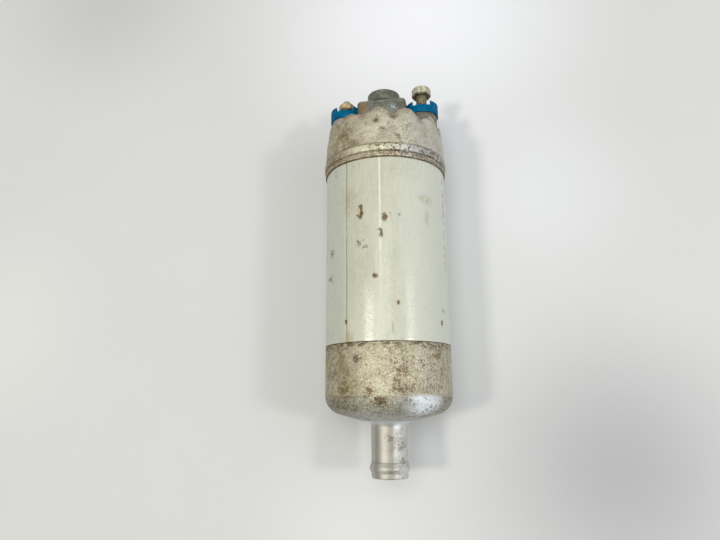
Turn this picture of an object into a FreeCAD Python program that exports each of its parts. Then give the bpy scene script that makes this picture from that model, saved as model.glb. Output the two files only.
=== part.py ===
"""In-line electric fuel pump: a roller-cell pump and its motor in one drawn aluminium can.

The pump lies along Y with the outlet at +Y and its terminals in line along X. The origin is
on the pump's axis, half way along the label, where the clamp holds it. Lengths are in mm.
"""
import FreeCAD, Part
import math
import os
import re
import Sketcher

doc = FreeCAD.newDocument("FuelPump")
sheet = doc.addObject("Spreadsheet::Sheet", "Sizes")

SIZES = {
    # Fits
    "seat_gap": 0.05,
    "running_gap": 0.04,
    "roller_gap": 0.15,
    "overcut": 1.0,
    # Drawn can and its label
    "label_length": 76.2,
    "label_radius": 26.6,
    "label_paper": 0.3,
    "cap_step": 0.05,
    "can_wall": 2.0,
    "cap_straight": 19.9,
    "knuckle_radius": 8.0,
    "dome_slope": 0.265,
    "hose_radius": 7.5,
    "hose_wall": 1.3,
    "spigot_length": 21.5,
    "spigot_root_round": 1.8,
    "barb_step": 0.75,
    "barb_setback": 2.1,
    "barb_width": 4.2,
    "barb_rise": 1.26,
    "barb_crest": 1.05,
    "barb_round": 0.8,
    "tip_round": 0.6,
    "stop_ring_step": 0.6,
    "stop_ring_width": 2.4,
    "bead_step": 1.0,
    "bead_width": 3.7,
    "bead_round": 0.35,
    "groove_depth": 0.35,
    "collar_step": 0.6,
    "bend_draw": 0.7,
    "rim_draw": 1.6,
    "rim_bend": 4.0,
    "rim_wall": 2.2,
    "rim_overhang": 2.5,
    "scallop_count": 12,
    "scallop_depth": 2.8,
    # Die-cast outlet cover
    "cover_thickness": 14.5,
    "cover_skirt": 3.0,
    "cover_skirt_wall": 2.2,
    "cover_shoulder": 3.1,
    "shoulder_run": 1.8,
    "seal_radius": 0.8,
    "seal_height": 5.5,
    "seal_groove": 2.0,
    "wrench_width": 22.4,
    "wrench_flats": 21.0,
    "wrench_height": 15.1,
    "wrench_turn": 3.0,
    "wrench_round": 2.5,
    "neck_wall": 2.35,
    "neck_round": 0.6,
    "wrench_top_round": 0.8,
    "neck_height": 7.0,
    "outlet_bore": 5.25,
    "outlet_depth": 14.4,
    "valve_step": 1.25,
    "valve_floor": 3.0,
    "feed_step": 2.0,
    "hub_wall": 2.95,
    "hub_drop": 8.0,
    # Terminals
    "flange_step": 0.7,
    "boss_height": 9.2,
    "collar_room": 0.4,
    "rim_room": 0.4,
    "sleeve_wall": 1.05,
    "collar_flange": 7.5,
    "collar_floor": 3.5,
    "collar_tooth": 2.3,
    "collar_wall": 2.1,
    "collar_slot": 7.75,
    "collar_round": 0.4,
    "positive_stud_round": 0.5,
    "negative_stud_round": 1.4,
    "head_step": 0.4,
    "head_height": 2.5,
    "under_washer": 1.0,
    "under_washer_step": 0.65,
    "positive_stud_radius": 2.5,
    "positive_stud_reach": 11.5,
    "positive_flats": 8.0,
    "positive_nut_height": 4.0,
    "positive_nut_lift": 7.5,
    "negative_stud_radius": 2.0,
    "negative_stud_reach": 8.3,
    "negative_flats": 7.0,
    "negative_nut_height": 3.2,
    "negative_nut_lift": 2.6,
    "top_washer": 0.9,
    "washer_play": 0.4,
    # Motor
    "tube_setback": 14.2,
    "tube_wall": 2.0,
    "magnet_thickness": 4.1,
    "magnet_span": 130.0,
    "magnet_base": 6.4,
    "magnet_setback": 8.0,
    "clip_thickness": 0.6,
    "clip_play": 2.0,
    "air_gap": 0.6,
    "core_base": 10.4,
    "core_setback": 12.0,
    "core_slots": 8,
    "core_slot_width": 4.5,
    "core_slot_floor": 9.5,
    "core_lip": 1.1,
    "core_mouth": 1.6,
    "winding_play": 0.2,
    "end_turn": 7.2,
    "end_turn_bore": 8.6,
    "end_turn_bevel": 2.0,
    "shaft_radius": 3.0,
    "shaft_end_play": 0.5,
    "commutator_radius": 9.0,
    "commutator_length": 15.0,
    "commutator_drop": 3.4,
    "commutator_slit": 0.6,
    "commutator_slit_depth": 1.0,
    "bush_wall": 2.0,
    "bush_length": 7.8,
    "flow_slot": 1.6,
    "flow_slot_depth": 0.9,
    # Brush gear
    "brush_deck": 3.0,
    "brush_rim_height": 20.5,
    "deck_play": 1.8,
    "box_play": 2.6,
    "box_height": 8.0,
    "box_width": 8.4,
    "brush_floor": 1.5,
    "brush_height": 5.0,
    "brush_width": 6.0,
    "brush_share": 0.54,
    "brush_wrap": 1.5,
    "brush_spring_radius": 1.9,
    "spring_wire": 0.22,
    "spring_turns": 4,
    # Roller-cell pump
    "port_plate_thickness": 7.2,
    "cam_width": 8.0,
    "outlet_plate_thickness": 6.0,
    "cam_wall": 7.6,
    "cam_offset": 1.1,
    "rotor_step": 1.2,
    "roller_share": 0.2373,
    "roller_count": 5,
    "drive_step": 0.15,
    "drive_height": 3.5,
    "coupling_play": 0.4,
    "tongue_width": 3.0,
    "tongue_length": 12.6,
    "tongue_depth": 2.5,
    "bush_hub_wall": 2.35,
    "bush_hub_height": 6.0,
    "port_step": 2.0,
    "port_width": 3.2,
    "port_span": 70.0,
    "screw_inset": 3.7,
    "screw_radius": 1.5,
    "screw_head": 2.7,
    "screw_head_height": 2.0,
    "screw_room": 0.2,
    "screw_end_room": 0.5,
    "screw_grip": 4.5,
    "screw_count": 3,
    "relief_inset": 4.3,
    "relief_ball": 2.0,
    "relief_seat": 1.4,
    "relief_hole": 2.3,
    "relief_vent": 1.0,
    "relief_spring_radius": 1.5,
    # Outlet check valve
    "poppet_play": 0.8,
    "poppet_head": 2.6,
    "poppet_stem": 1.4,
    "poppet_length": 12.6,
    "retainer_height": 3.0,
    "retainer_lift": 10.5,
    "retainer_hole": 0.75,
    "retainer_count": 3,
    "check_spring_play": 1.6,
}

# Sizes that follow from those above
DERIVED = {
    "cap_radius": "label_radius + cap_step",
    "can_bore": "label_radius - can_wall",
    "stop_ring_radius": "label_radius + stop_ring_step",
    "bead_radius": "label_radius + bead_step",
    "collar_radius": "label_radius + collar_step",
    "collar_bend_radius": "collar_radius - bend_draw",
    "rim_radius": "collar_radius - rim_draw",
    "hose_bore": "hose_radius - hose_wall",
    "barb_radius": "hose_radius + barb_step",
    "cover_top_radius": "can_bore - shoulder_run",
    "neck_radius": "outlet_bore + neck_wall",
    "valve_bore": "outlet_bore - valve_step",
    "feed_radius": "valve_bore - feed_step",
    "boss_radius": "collar_flange - flange_step",
    "terminal_spacing": "2 * (can_bore - boss_radius)",
    "sleeve_radius": "positive_stud_radius + seat_gap + sleeve_wall",
    "collar_well": "collar_flange - collar_wall",
    "head_radius": "sleeve_radius + head_step",
    "under_washer_radius": "sleeve_radius + under_washer_step",
    "top_washer_radius": "collar_well - washer_play",
    "bush_radius": "shaft_radius + bush_wall",
    "hub_radius": "bush_radius + seat_gap + hub_wall",
    "bush_hub": "bush_radius + seat_gap + bush_hub_wall",
    "drive_recess": "bush_hub - seat_gap - drive_step",
    "deck_bore": "commutator_radius + deck_play",
    "box_inner": "commutator_radius + box_play",
    "brush_length": "(can_bore - commutator_radius) * brush_share",
    "cam_bore": "can_bore - cam_wall",
    "rotor_radius": "cam_bore - rotor_step",
    "roller_radius": "rotor_radius * roller_share",
    "port_outer": "cam_bore - port_step",
    "port_inner": "port_outer - port_width",
    "screw_circle": "can_bore - screw_inset",
    "relief_offset": "can_bore - relief_inset",
    "poppet_radius": "valve_bore - poppet_play",
    "retainer_circle": "(poppet_stem + valve_bore) / 2",
    "check_spring_radius": "valve_bore - check_spring_play",
}

for row, alias in enumerate(list(SIZES) + list(DERIVED), start=1):
    sheet.set(f"A{row}", alias.replace("_", " "))
    sheet.set(f"B{row}", str(SIZES.get(alias, 0)))
    sheet.setAlias(f"B{row}", alias)
for row, alias in enumerate(DERIVED, start=len(SIZES) + 1):
    sheet.set(f"B{row}", "=" + DERIVED[alias])
doc.recompute()


def bound(text):
    """The expression with every size read from the sheet."""
    def cell(word):
        known = word.group(0) in SIZES or word.group(0) in DERIVED
        return "Sizes." + word.group(0) if known else word.group(0)
    return re.sub(r"[a-z][a-z_]+", cell, text)


def value(text):
    """The expression's number in mm."""
    return float(sheet.evalExpression(bound(text)))


# Stations along Y
LABEL_BASE = "(-label_length / 2)"
LABEL_TOP = "(label_length / 2)"
KNUCKLE_RISE = "knuckle_radius * (sqrt(1 + dome_slope ^ 2) - dome_slope)"
DOME_CORNER = f"({LABEL_BASE} - cap_straight - {KNUCKLE_RISE})"
SPIGOT_ROOT = f"({DOME_CORNER} - dome_slope * (cap_radius - hose_radius))"
SPIGOT_TIP = f"({SPIGOT_ROOT} - spigot_length)"
BARB_TOP = f"({SPIGOT_TIP} + barb_setback + barb_width)"
DOME_WALL = "(cap_radius - can_bore) * sqrt(1 + dome_slope ^ 2)"
PACK_BASE = f"({LABEL_BASE} - cap_straight + seat_gap)"
PORT_TOP = f"({PACK_BASE} + port_plate_thickness)"
CAM_TOP = f"({PORT_TOP} + cam_width)"
PLATE_TOP = f"({CAM_TOP} + outlet_plate_thickness)"
BUSH_BASE = f"({CAM_TOP} + drive_height + 2 * seat_gap)"
TUBE_TOP = f"({LABEL_TOP} - tube_setback)"
DECK_TOP = f"({TUBE_TOP} + brush_deck)"
BRUSH_BASE = f"({DECK_TOP} + brush_floor)"
COVER_BASE = f"({TUBE_TOP} + brush_rim_height)"
COVER_UNDER = f"({COVER_BASE} + cover_skirt)"
COVER_TOP = f"({COVER_BASE} + cover_thickness)"
RIM = f"({COVER_TOP} + rim_overhang)"
VALVE_SEAT = f"({COVER_UNDER} + valve_floor)"
BLOCK_TOP = f"({COVER_TOP} + wrench_height)"
NECK_TOP = f"({BLOCK_TOP} + neck_height)"
BOSS_TOP = f"({COVER_TOP} + boss_height)"
WELL_FLOOR = f"({BOSS_TOP} + collar_floor)"
CORE_BASE = f"({PLATE_TOP} + core_base)"
CORE_TOP = f"({TUBE_TOP} - core_setback)"
PLATE_RADIUS = "(can_bore - seat_gap)"
MAGNET_OUTER = f"({PLATE_RADIUS} - tube_wall - seat_gap)"
MAGNET_INNER = f"({MAGNET_OUTER} - magnet_thickness)"
CORE_RADIUS = f"({MAGNET_INNER} - air_gap)"
HUB_BORE = "(shaft_radius + running_gap / 2)"
NODES = []


def new_body(label):
    """An empty body that becomes one node."""
    body = doc.addObject("PartDesign::Body", "".join(label.title().split("_")))
    body.Label = label
    NODES.append(body)
    return body


def origin_of(body, role):
    """The body's own origin plane or axis."""
    for feature in body.Origin.OriginFeatures:
        if feature.Role == role:
            return feature
    raise RuntimeError(role)


def new_sketch(body, role, station, turn):
    """A sketch on an origin plane, raised along Y to its station or turned about Y."""
    sketch = body.newObject("Sketcher::SketchObject", body.Name + "Sketch")
    sketch.AttachmentSupport = (origin_of(body, role), [""])
    sketch.MapMode = "FlatFace"
    if station:
        sketch.setExpression("AttachmentOffset.Base.z", bound(f"-({station})"))
    if turn:
        pump_axis = FreeCAD.Vector(0, 0, 1) if role == "XZ_Plane" else FreeCAD.Vector(0, 1, 0)
        sketch.AttachmentOffset.Rotation = FreeCAD.Rotation(pump_axis, turn)
    return sketch


def pin_down(sketch, element, end, across, along):
    """Hold one point of the sketch at two sizes from its origin."""
    first = sketch.addConstraint(
        [
            Sketcher.Constraint("DistanceX", -1, 1, element, end, value(across)),
            Sketcher.Constraint("DistanceY", -1, 1, element, end, value(along)),
        ]
    )
    sketch.setExpression(f"Constraints[{first[0]}]", bound(across))
    sketch.setExpression(f"Constraints[{first[1]}]", bound(along))


def outline(body, points, role="XY_Plane", station="", turn=0.0):
    """A closed outline of straight lines through points given as sizes."""
    sketch = new_sketch(body, role, station, turn)
    add_outline(sketch, points)
    return sketch


def add_outline(sketch, points):
    """Add one closed outline to the sketch."""
    start = sketch.GeometryCount
    count = len(points)
    spots = [FreeCAD.Vector(value(across), value(along), 0) for across, along in points]
    lines = [Part.LineSegment(spots[i], spots[(i + 1) % count]) for i in range(count)]
    sketch.addGeometry(lines, False)
    joints = []
    for i in range(count):
        following = start + (i + 1) % count
        joints.append(Sketcher.Constraint("Coincident", start + i, 2, following, 1))
    sketch.addConstraint(joints)
    for i, (across, along) in enumerate(points):
        pin_down(sketch, start + i, 1, across, along)


def circles(body, rounds, station, role="XZ_Plane"):
    """Full circles, each with its centre and radius given as sizes."""
    sketch = new_sketch(body, role, station, 0.0)
    for across, along, radius in rounds:
        centre = FreeCAD.Vector(value(across), value(along), 0)
        up = FreeCAD.Vector(0, 0, 1)
        ring = sketch.addGeometry(Part.Circle(centre, up, value(radius)), False)
        pin_down(sketch, ring, 3, across, along)
        size = sketch.addConstraint(Sketcher.Constraint("Radius", ring, value(radius)))
        sketch.setExpression(f"Constraints[{size}]", bound(radius))
    return sketch


def rectangle(left, right, low, high):
    """The corners of a rectangle."""
    return [(left, low), (right, low), (right, high), (left, high)]


def turned(body, points, kind="PartDesign::Revolution", span=360.0, turn=0.0):
    """Turn an outline of radius and station about the pump's axis, to add or to cut."""
    sketch = outline(body, points, turn=turn)
    feature = body.newObject(kind, body.Name + "Turned")
    feature.Profile = sketch
    feature.ReferenceAxis = (sketch, ["V_Axis"])
    feature.Angle = span
    feature.Midplane = span < 360.0
    doc.recompute()
    return feature


def groove(body, points, span=360.0, turn=0.0):
    """Cut a turned outline out of the body."""
    return turned(body, points, "PartDesign::Groove", span, turn)


def pad(body, sketch, length):
    """Raise a sketch towards the outlet."""
    feature = body.newObject("PartDesign::Pad", body.Name + "Pad")
    feature.Profile = sketch
    feature.setExpression("Length", bound(length))
    feature.Reversed = True
    doc.recompute()
    return feature


def pocket(body, sketch, length, both_ways=False):
    """Cut a sketch out towards the outlet, or both ways from its plane."""
    feature = body.newObject("PartDesign::Pocket", body.Name + "Pocket")
    feature.Profile = sketch
    feature.setExpression("Length", bound(length))
    feature.Midplane = both_ways
    doc.recompute()
    return feature


def repeat(body, features, count):
    """Repeat features evenly about the pump's axis."""
    pattern = body.newObject("PartDesign::PolarPattern", body.Name + "Pattern")
    pattern.Originals = features
    pattern.Axis = (origin_of(body, "Y_Axis"), [""])
    pattern.Angle = 360.0
    pattern.setExpression("Occurrences", bound(count))
    body.Tip = pattern
    doc.recompute()
    return pattern


def round_off(body, corners, radius):
    """Round the turned corners that lie at the given radius and station."""
    base = body.Tip
    names = []
    for number, edge in enumerate(base.Shape.Edges, start=1):
        if not isinstance(edge.Curve, Part.Circle):
            continue
        for across, along in corners:
            same_size = abs(edge.Curve.Radius - value(across)) < 0.001
            if same_size and abs(edge.Curve.Center.y - value(along)) < 0.001:
                names.append(f"Edge{number}")
    return fillet(body, base, names, radius)


def fillet(body, base, names, radius):
    """Round the named edges of the body's latest feature."""
    feature = body.newObject("PartDesign::Fillet", body.Name + "Round")
    feature.Base = (base, names)
    feature.setExpression("Radius", bound(radius))
    doc.recompute()
    return feature


def ring(label, inner, outer, low, high, span=360.0, turn=0.0):
    """A plain turned ring, or a sector of one."""
    body = new_body(label)
    turned(body, rectangle(inner, outer, low, high), span=span, turn=turn)
    return body


def stand_at_terminal(body, side):
    """Move a piece from the pump's axis to its terminal."""
    body.setExpression("Placement.Base.x", bound(f"{side} * terminal_spacing / 2"))


def pump_can():
    """Drawn can: barbed hose tail, domed end, label recess, stop ring, bead and crimped rim."""
    body = new_body("pump_can")
    label_seat = "(label_radius - label_paper - seat_gap)"
    ring_top = f"({LABEL_TOP} + stop_ring_width)"
    bead_top = f"({ring_top} + bead_width)"
    inner_corner = f"({DOME_CORNER} - dome_slope * (cap_radius - can_bore) + {DOME_WALL})"
    lip = "(rim_radius - rim_wall)"
    shoulder = f"({COVER_TOP} - cover_shoulder)"
    shoulder_run = "(can_bore - seat_gap - cover_top_radius)"
    lip_foot = f"({shoulder} + (can_bore - {lip}) * cover_shoulder / {shoulder_run})"
    barb_low = f"({SPIGOT_TIP} + barb_setback + barb_rise)"
    barb_high = f"({barb_low} + barb_crest)"
    turned(body, [
        ("hose_bore", SPIGOT_TIP),
        ("hose_radius", SPIGOT_TIP),
        ("hose_radius", f"{SPIGOT_TIP} + barb_setback"),
        ("barb_radius", barb_low),
        ("barb_radius", barb_high),
        ("hose_radius", BARB_TOP),
        ("hose_radius", SPIGOT_ROOT),
        ("cap_radius", DOME_CORNER),
        ("cap_radius", LABEL_BASE),
        (label_seat, LABEL_BASE),
        (label_seat, LABEL_TOP),
        ("stop_ring_radius", LABEL_TOP),
        ("stop_ring_radius", f"{ring_top} - groove_depth"),
        ("stop_ring_radius - groove_depth", ring_top),
        ("bead_radius", f"{ring_top} + 2 * groove_depth"),
        ("bead_radius", f"{bead_top} - 2 * groove_depth"),
        ("collar_radius - groove_depth", bead_top),
        ("collar_radius", f"{bead_top} + 2 * groove_depth"),
        ("collar_bend_radius", f"{RIM} - rim_bend"),
        ("rim_radius", RIM),
        (lip, RIM),
        (lip, lip_foot),
        ("can_bore", shoulder),
        ("can_bore", inner_corner),
        ("hose_bore", f"{inner_corner} - dome_slope * (can_bore - hose_bore)"),
    ])
    round_off(body, [("cap_radius", DOME_CORNER)], "knuckle_radius")
    round_off(body, [("can_bore", inner_corner)], "knuckle_radius - (cap_radius - can_bore)")
    round_off(body, [("hose_radius", SPIGOT_ROOT)], "spigot_root_round")
    round_off(body, [("barb_radius", barb_low), ("barb_radius", barb_high)], "barb_round")
    round_off(body, [("hose_radius", SPIGOT_TIP)], "tip_round")
    bead_edges = [("bead_radius", f"{ring_top} + 2 * groove_depth")]
    bead_edges.append(("bead_radius", f"{bead_top} - 2 * groove_depth"))
    round_off(body, bead_edges, "bead_round")
    round_off(body, [("stop_ring_radius", LABEL_TOP)], "bead_round")
    trough = pocket(body, scallop_outline(body), "cap_radius + rim_wall")
    repeat(body, [trough], "scallop_count")


def scallop_outline(body):
    """The trough between two crests of the rim, a wave of three tangent arcs."""
    half = "(rim_radius * sin(180 / scallop_count))"
    middle = f"({RIM} - scallop_depth / 2)"
    wave = f"((({half} / 2) ^ 2 + (scallop_depth / 2) ^ 2) / scallop_depth)"
    above = f"({RIM} + rim_overhang)"
    width = value(half)
    crest_height = value(f"{RIM} - {wave}")
    trough_height = value(f"{RIM} - scallop_depth + {wave}")
    lean = math.atan2(value(f"{wave} - scallop_depth / 2"), width / 2)
    sketch = new_sketch(body, "XY_Plane", "", value("180 / scallop_count"))
    up = FreeCAD.Vector(0, 0, 1)
    arcs = [
        (-width, crest_height, lean, math.pi / 2),
        (0.0, trough_height, math.pi + lean, 2 * math.pi - lean),
        (width, crest_height, math.pi / 2, math.pi - lean),
    ]
    for across, along, first, last in arcs:
        circle = Part.Circle(FreeCAD.Vector(across, along, 0), up, value(wave))
        arc = sketch.addGeometry(Part.ArcOfCircle(circle, first, last), False)
        size = sketch.addConstraint(Sketcher.Constraint("Radius", arc, value(wave)))
        sketch.setExpression(f"Constraints[{size}]", bound(wave))
    top = [(half, RIM), (half, above), (f"-{half}", above), (f"-{half}", RIM)]
    spots = [FreeCAD.Vector(value(across), value(along), 0) for across, along in top]
    for i in range(3):
        sketch.addGeometry(Part.LineSegment(spots[i], spots[i + 1]), False)
    meetings = [(0, 1, 1, 1), (1, 2, 2, 2), (2, 1, 3, 1), (3, 2, 4, 1), (4, 2, 5, 1), (5, 2, 0, 2)]
    for first, end, second, start in meetings:
        sketch.addConstraint(Sketcher.Constraint("Coincident", first, end, second, start))
    pin_down(sketch, 0, 2, f"-{half}", RIM)
    pin_down(sketch, 0, 1, f"-{half} / 2", middle)
    pin_down(sketch, 1, 2, f"{half} / 2", middle)
    pin_down(sketch, 2, 1, half, RIM)
    pin_down(sketch, 3, 2, half, above)
    pin_down(sketch, 4, 2, f"-{half}", above)
    return sketch


def label_wrap():
    """Printed sleeve round the can, here bare."""
    ring("label_wrap", "label_radius - label_paper", "label_radius", LABEL_BASE, LABEL_TOP)


def outlet_cover():
    """Die-cast cover: sealed disc, two terminal bosses, wrench block and threaded outlet neck."""
    body = new_body("outlet_cover")
    seal_low = f"({COVER_BASE} + seal_height - seal_groove / 2)"
    seal_high = f"({COVER_BASE} + seal_height + seal_groove / 2)"
    seal_floor = "(can_bore - 2 * seal_radius - 2 * seat_gap)"
    skirt = f"({PLATE_RADIUS} - cover_skirt_wall)"
    hub_base = f"({COVER_UNDER} - hub_drop)"
    thread_base = f"({NECK_TOP} - outlet_depth)"
    turned(body, [
        ("0", hub_base),
        ("hub_radius", hub_base),
        ("hub_radius", COVER_UNDER),
        (skirt, COVER_UNDER),
        (skirt, COVER_BASE),
        (PLATE_RADIUS, COVER_BASE),
        (PLATE_RADIUS, seal_low),
        (seal_floor, seal_low),
        (seal_floor, seal_high),
        (PLATE_RADIUS, seal_high),
        (PLATE_RADIUS, f"{COVER_TOP} - cover_shoulder"),
        ("cover_top_radius", COVER_TOP),
        ("0", COVER_TOP),
    ])
    block = rectangle("-wrench_width / 2", "wrench_width / 2", "-wrench_flats / 2", "wrench_flats / 2")
    turn = value("wrench_turn")
    pad(body, outline(body, block, "XZ_Plane", COVER_TOP, turn), "wrench_height")
    round_uprights(body)
    terminals = [("terminal_spacing / 2", "0"), ("-terminal_spacing / 2", "0")]
    room = [(across, along, "collar_flange + collar_room") for across, along in terminals]
    pocket(body, circles(body, room, BOSS_TOP), "wrench_height")
    bosses = [(across, along, "boss_radius") for across, along in terminals]
    pad(body, circles(body, bosses, COVER_TOP), "boss_height")
    trim = rectangle("rim_radius - rim_wall - 2 * seat_gap", "rim_radius + rim_wall",
                     COVER_TOP, f"{RIM} + rim_room")
    groove(body, trim)
    pad(body, circles(body, [("0", "0", "neck_radius")], BLOCK_TOP), "neck_height")
    holes = [(across, along, "sleeve_radius + seat_gap") for across, along in terminals]
    passage = circles(body, holes, f"{COVER_UNDER} - overcut")
    pocket(body, passage, "cover_thickness + boss_height + 2 * overcut")
    groove(body, [
        ("0", f"{hub_base} - overcut"),
        ("bush_radius + seat_gap", f"{hub_base} - overcut"),
        ("bush_radius + seat_gap", COVER_UNDER),
        ("feed_radius", COVER_UNDER),
        ("feed_radius", VALVE_SEAT),
        ("valve_bore", VALVE_SEAT),
        ("valve_bore", thread_base),
        ("outlet_bore", thread_base),
        ("outlet_bore", f"{NECK_TOP} + overcut"),
        ("0", f"{NECK_TOP} + overcut"),
    ])
    round_off(body, [("neck_radius", NECK_TOP)], "neck_round")


def round_uprights(body):
    """Round the wrench block's four upright corners, then its top."""
    base = body.Tip
    names = []
    for number, edge in enumerate(base.Shape.Edges, start=1):
        box = edge.BoundBox
        if abs(box.YLength - value("wrench_height")) < 0.001 and box.XLength < 0.001:
            names.append(f"Edge{number}")
    fillet(body, base, names, "wrench_round")
    base = body.Tip
    names = []
    for number, edge in enumerate(base.Shape.Edges, start=1):
        box = edge.BoundBox
        if box.YLength < 0.001 and abs(box.YMin - value(BLOCK_TOP)) < 0.001:
            names.append(f"Edge{number}")
    fillet(body, base, names, "wrench_top_round")


def cover_seal():
    """Square-cut rubber ring between the cover and the can."""
    middle = f"{COVER_BASE} + seal_height"
    ring("cover_seal", "can_bore - 2 * seal_radius - seat_gap", "can_bore - seat_gap",
         f"{middle} - seal_radius", f"{middle} + seal_radius")


def terminal(label, side):
    """One terminal: stud, insulating collar, washers and nut."""
    stud = f"{label}_stud_radius"
    hole = f"({stud} + seat_gap)"
    under = f"({COVER_UNDER} - under_washer)"
    stud_top = f"({WELL_FLOOR} + {label}_stud_reach)"
    bolt = new_body(f"{label}_stud")
    turned(bolt, [
        ("0", f"{under} - head_height"),
        ("head_radius", f"{under} - head_height"),
        ("head_radius", under),
        (stud, under),
        (stud, stud_top),
        ("0", stud_top),
    ])
    round_off(bolt, [(stud, stud_top)], f"{label}_stud_round")
    lower = ring(f"{label}_under_washer", hole, "under_washer_radius", under, COVER_UNDER)
    collar = new_body(f"{label}_collar")
    tooth_top = f"({WELL_FLOOR} + collar_tooth)"
    turned(collar, [
        (hole, COVER_UNDER),
        ("sleeve_radius", COVER_UNDER),
        ("sleeve_radius", BOSS_TOP),
        ("collar_flange", BOSS_TOP),
        ("collar_flange", tooth_top),
        ("collar_well", tooth_top),
        ("collar_well", WELL_FLOOR),
        (hole, WELL_FLOOR),
    ])
    round_off(collar, [("collar_flange", tooth_top)], "collar_round")
    reach = "(collar_flange + overcut)"
    slot = rectangle("-collar_slot / 2", "collar_slot / 2", f"-{reach}", reach)
    pocket(collar, outline(collar, slot, "XZ_Plane", WELL_FLOOR), "collar_tooth + overcut")
    top = ring(f"{label}_washer", hole, "top_washer_radius", WELL_FLOOR, f"{WELL_FLOOR} + top_washer")
    nut = hexagon_nut(label, stud)
    for body in (bolt, lower, collar, top, nut):
        stand_at_terminal(body, side)


def hexagon_nut(label, stud):
    """A hexagon nut with both faces chamfered, run part way down its stud."""
    body = new_body(f"{label}_nut")
    base = f"({WELL_FLOOR} + {label}_nut_lift)"
    top = f"({base} + {label}_nut_height)"
    flats = f"{label}_flats"
    corners = []
    for sixth in range(6):
        angle = 60 * sixth + 30
        corners.append((f"{flats} / sqrt(3) * cos({angle})", f"{flats} / sqrt(3) * sin({angle})"))
    sketch = outline(body, corners, "XZ_Plane", base)
    pad(body, sketch, f"{label}_nut_height")
    bevel = f"(overcut + {flats} / sqrt(3) - {flats} / 2)"
    slope = f"({bevel} * tan(30))"
    groove(body, [
        (f"{flats} / 2", top),
        (f"{flats} / 2 + {bevel}", top),
        (f"{flats} / 2 + {bevel}", f"{top} - {slope}"),
    ])
    groove(body, [
        (f"{flats} / 2", base),
        (f"{flats} / 2 + {bevel}", f"{base} + {slope}"),
        (f"{flats} / 2 + {bevel}", base),
    ])
    hole = f"{stud} + running_gap"
    groove(body, rectangle("0", hole, f"{base} - overcut", f"{top} + overcut"))
    return body


def motor():
    """Pole tube, magnets with their clips, armature and its bushes."""
    ring("pole_tube", f"{PLATE_RADIUS} - tube_wall", PLATE_RADIUS, PLATE_TOP, TUBE_TOP)
    magnet_low = f"({PLATE_TOP} + magnet_base)"
    magnet_high = f"({TUBE_TOP} - magnet_setback)"
    span = value("magnet_span")
    for label, turn in (("magnet_left", 180.0), ("magnet_right", 0.0)):
        ring(label, MAGNET_INNER, MAGNET_OUTER, magnet_low, magnet_high, span, turn)
    clip_outer = f"({MAGNET_OUTER} - magnet_thickness / 2)"
    clip_span = 180.0 - span - value("clip_play")
    for label, turn in (("magnet_clip_top", -90.0), ("magnet_clip_bottom", 90.0)):
        clip_inner = f"{clip_outer} - clip_thickness"
        ring(label, clip_inner, clip_outer, magnet_low, magnet_high, clip_span, turn)
    motor_shaft()
    armature_core()
    armature_winding()
    commutator()
    hub_base = f"({COVER_UNDER} - hub_drop)"
    bush("upper_bush", hub_base)
    bush("lower_bush", BUSH_BASE)


def motor_shaft():
    """Ground shaft from the pump rotor to the cover's bush."""
    body = new_body("motor_shaft")
    low = f"({PORT_TOP} + 2 * seat_gap)"
    high = f"({COVER_UNDER} - shaft_end_play)"
    turned(body, rectangle("0", "shaft_radius", low, high))


def bush(label, base):
    """Sintered bush with two flow slots along its bore."""
    body = ring(label, "shaft_radius + running_gap", "bush_radius", base, f"{base} + bush_length")
    reach = "(shaft_radius + flow_slot_depth)"
    slots = rectangle("-flow_slot / 2", "flow_slot / 2", f"-{reach}", reach)
    pocket(body, outline(body, slots, "XZ_Plane", f"{base} - overcut"), "bush_length + 2 * overcut")


def armature_core():
    """Slotted laminations."""
    body = ring("armature_core", HUB_BORE, CORE_RADIUS, CORE_BASE, CORE_TOP)
    slot = rectangle("core_slot_floor", f"{CORE_RADIUS} - core_lip",
                     "-core_slot_width / 2", "core_slot_width / 2")
    mouth = rectangle(f"{CORE_RADIUS} - core_lip - overcut / 2", f"{CORE_RADIUS} + overcut",
                      "-core_mouth / 2", "core_mouth / 2")
    length = f"{CORE_TOP} - {CORE_BASE} + 2 * overcut"
    wide = pocket(body, outline(body, slot, "XZ_Plane", f"{CORE_BASE} - overcut"), length)
    repeat(body, [wide], "core_slots")
    narrow = pocket(body, outline(body, mouth, "XZ_Plane", f"{CORE_BASE} - overcut"), length)
    repeat(body, [narrow], "core_slots")


def armature_winding():
    """Copper in the slots, with an end turn at each end."""
    body = new_body("armature_winding")
    outer = f"({CORE_RADIUS} - core_lip - winding_play)"
    low = f"({CORE_BASE} - winding_play)"
    high = f"({CORE_TOP} + winding_play)"
    turned(body, [
        ("end_turn_bore", low),
        ("end_turn_bore", f"{low} - end_turn"),
        (f"{outer} - end_turn_bevel", f"{low} - end_turn"),
        (outer, f"{low} - end_turn + end_turn_bevel"),
        (outer, low),
    ])
    bar = rectangle("core_slot_floor + winding_play", outer,
                    "-core_slot_width / 2 + winding_play", "core_slot_width / 2 - winding_play")
    length = f"{high} - {low} + 2 * overcut"
    coil = pad(body, outline(body, bar, "XZ_Plane", f"{low} - overcut"), length)
    repeat(body, [coil], "core_slots")
    turned(body, [
        ("end_turn_bore", high),
        (outer, high),
        (outer, f"{high} + end_turn - end_turn_bevel"),
        (f"{outer} - end_turn_bevel", f"{high} + end_turn"),
        ("end_turn_bore", f"{high} + end_turn"),
    ])


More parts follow.
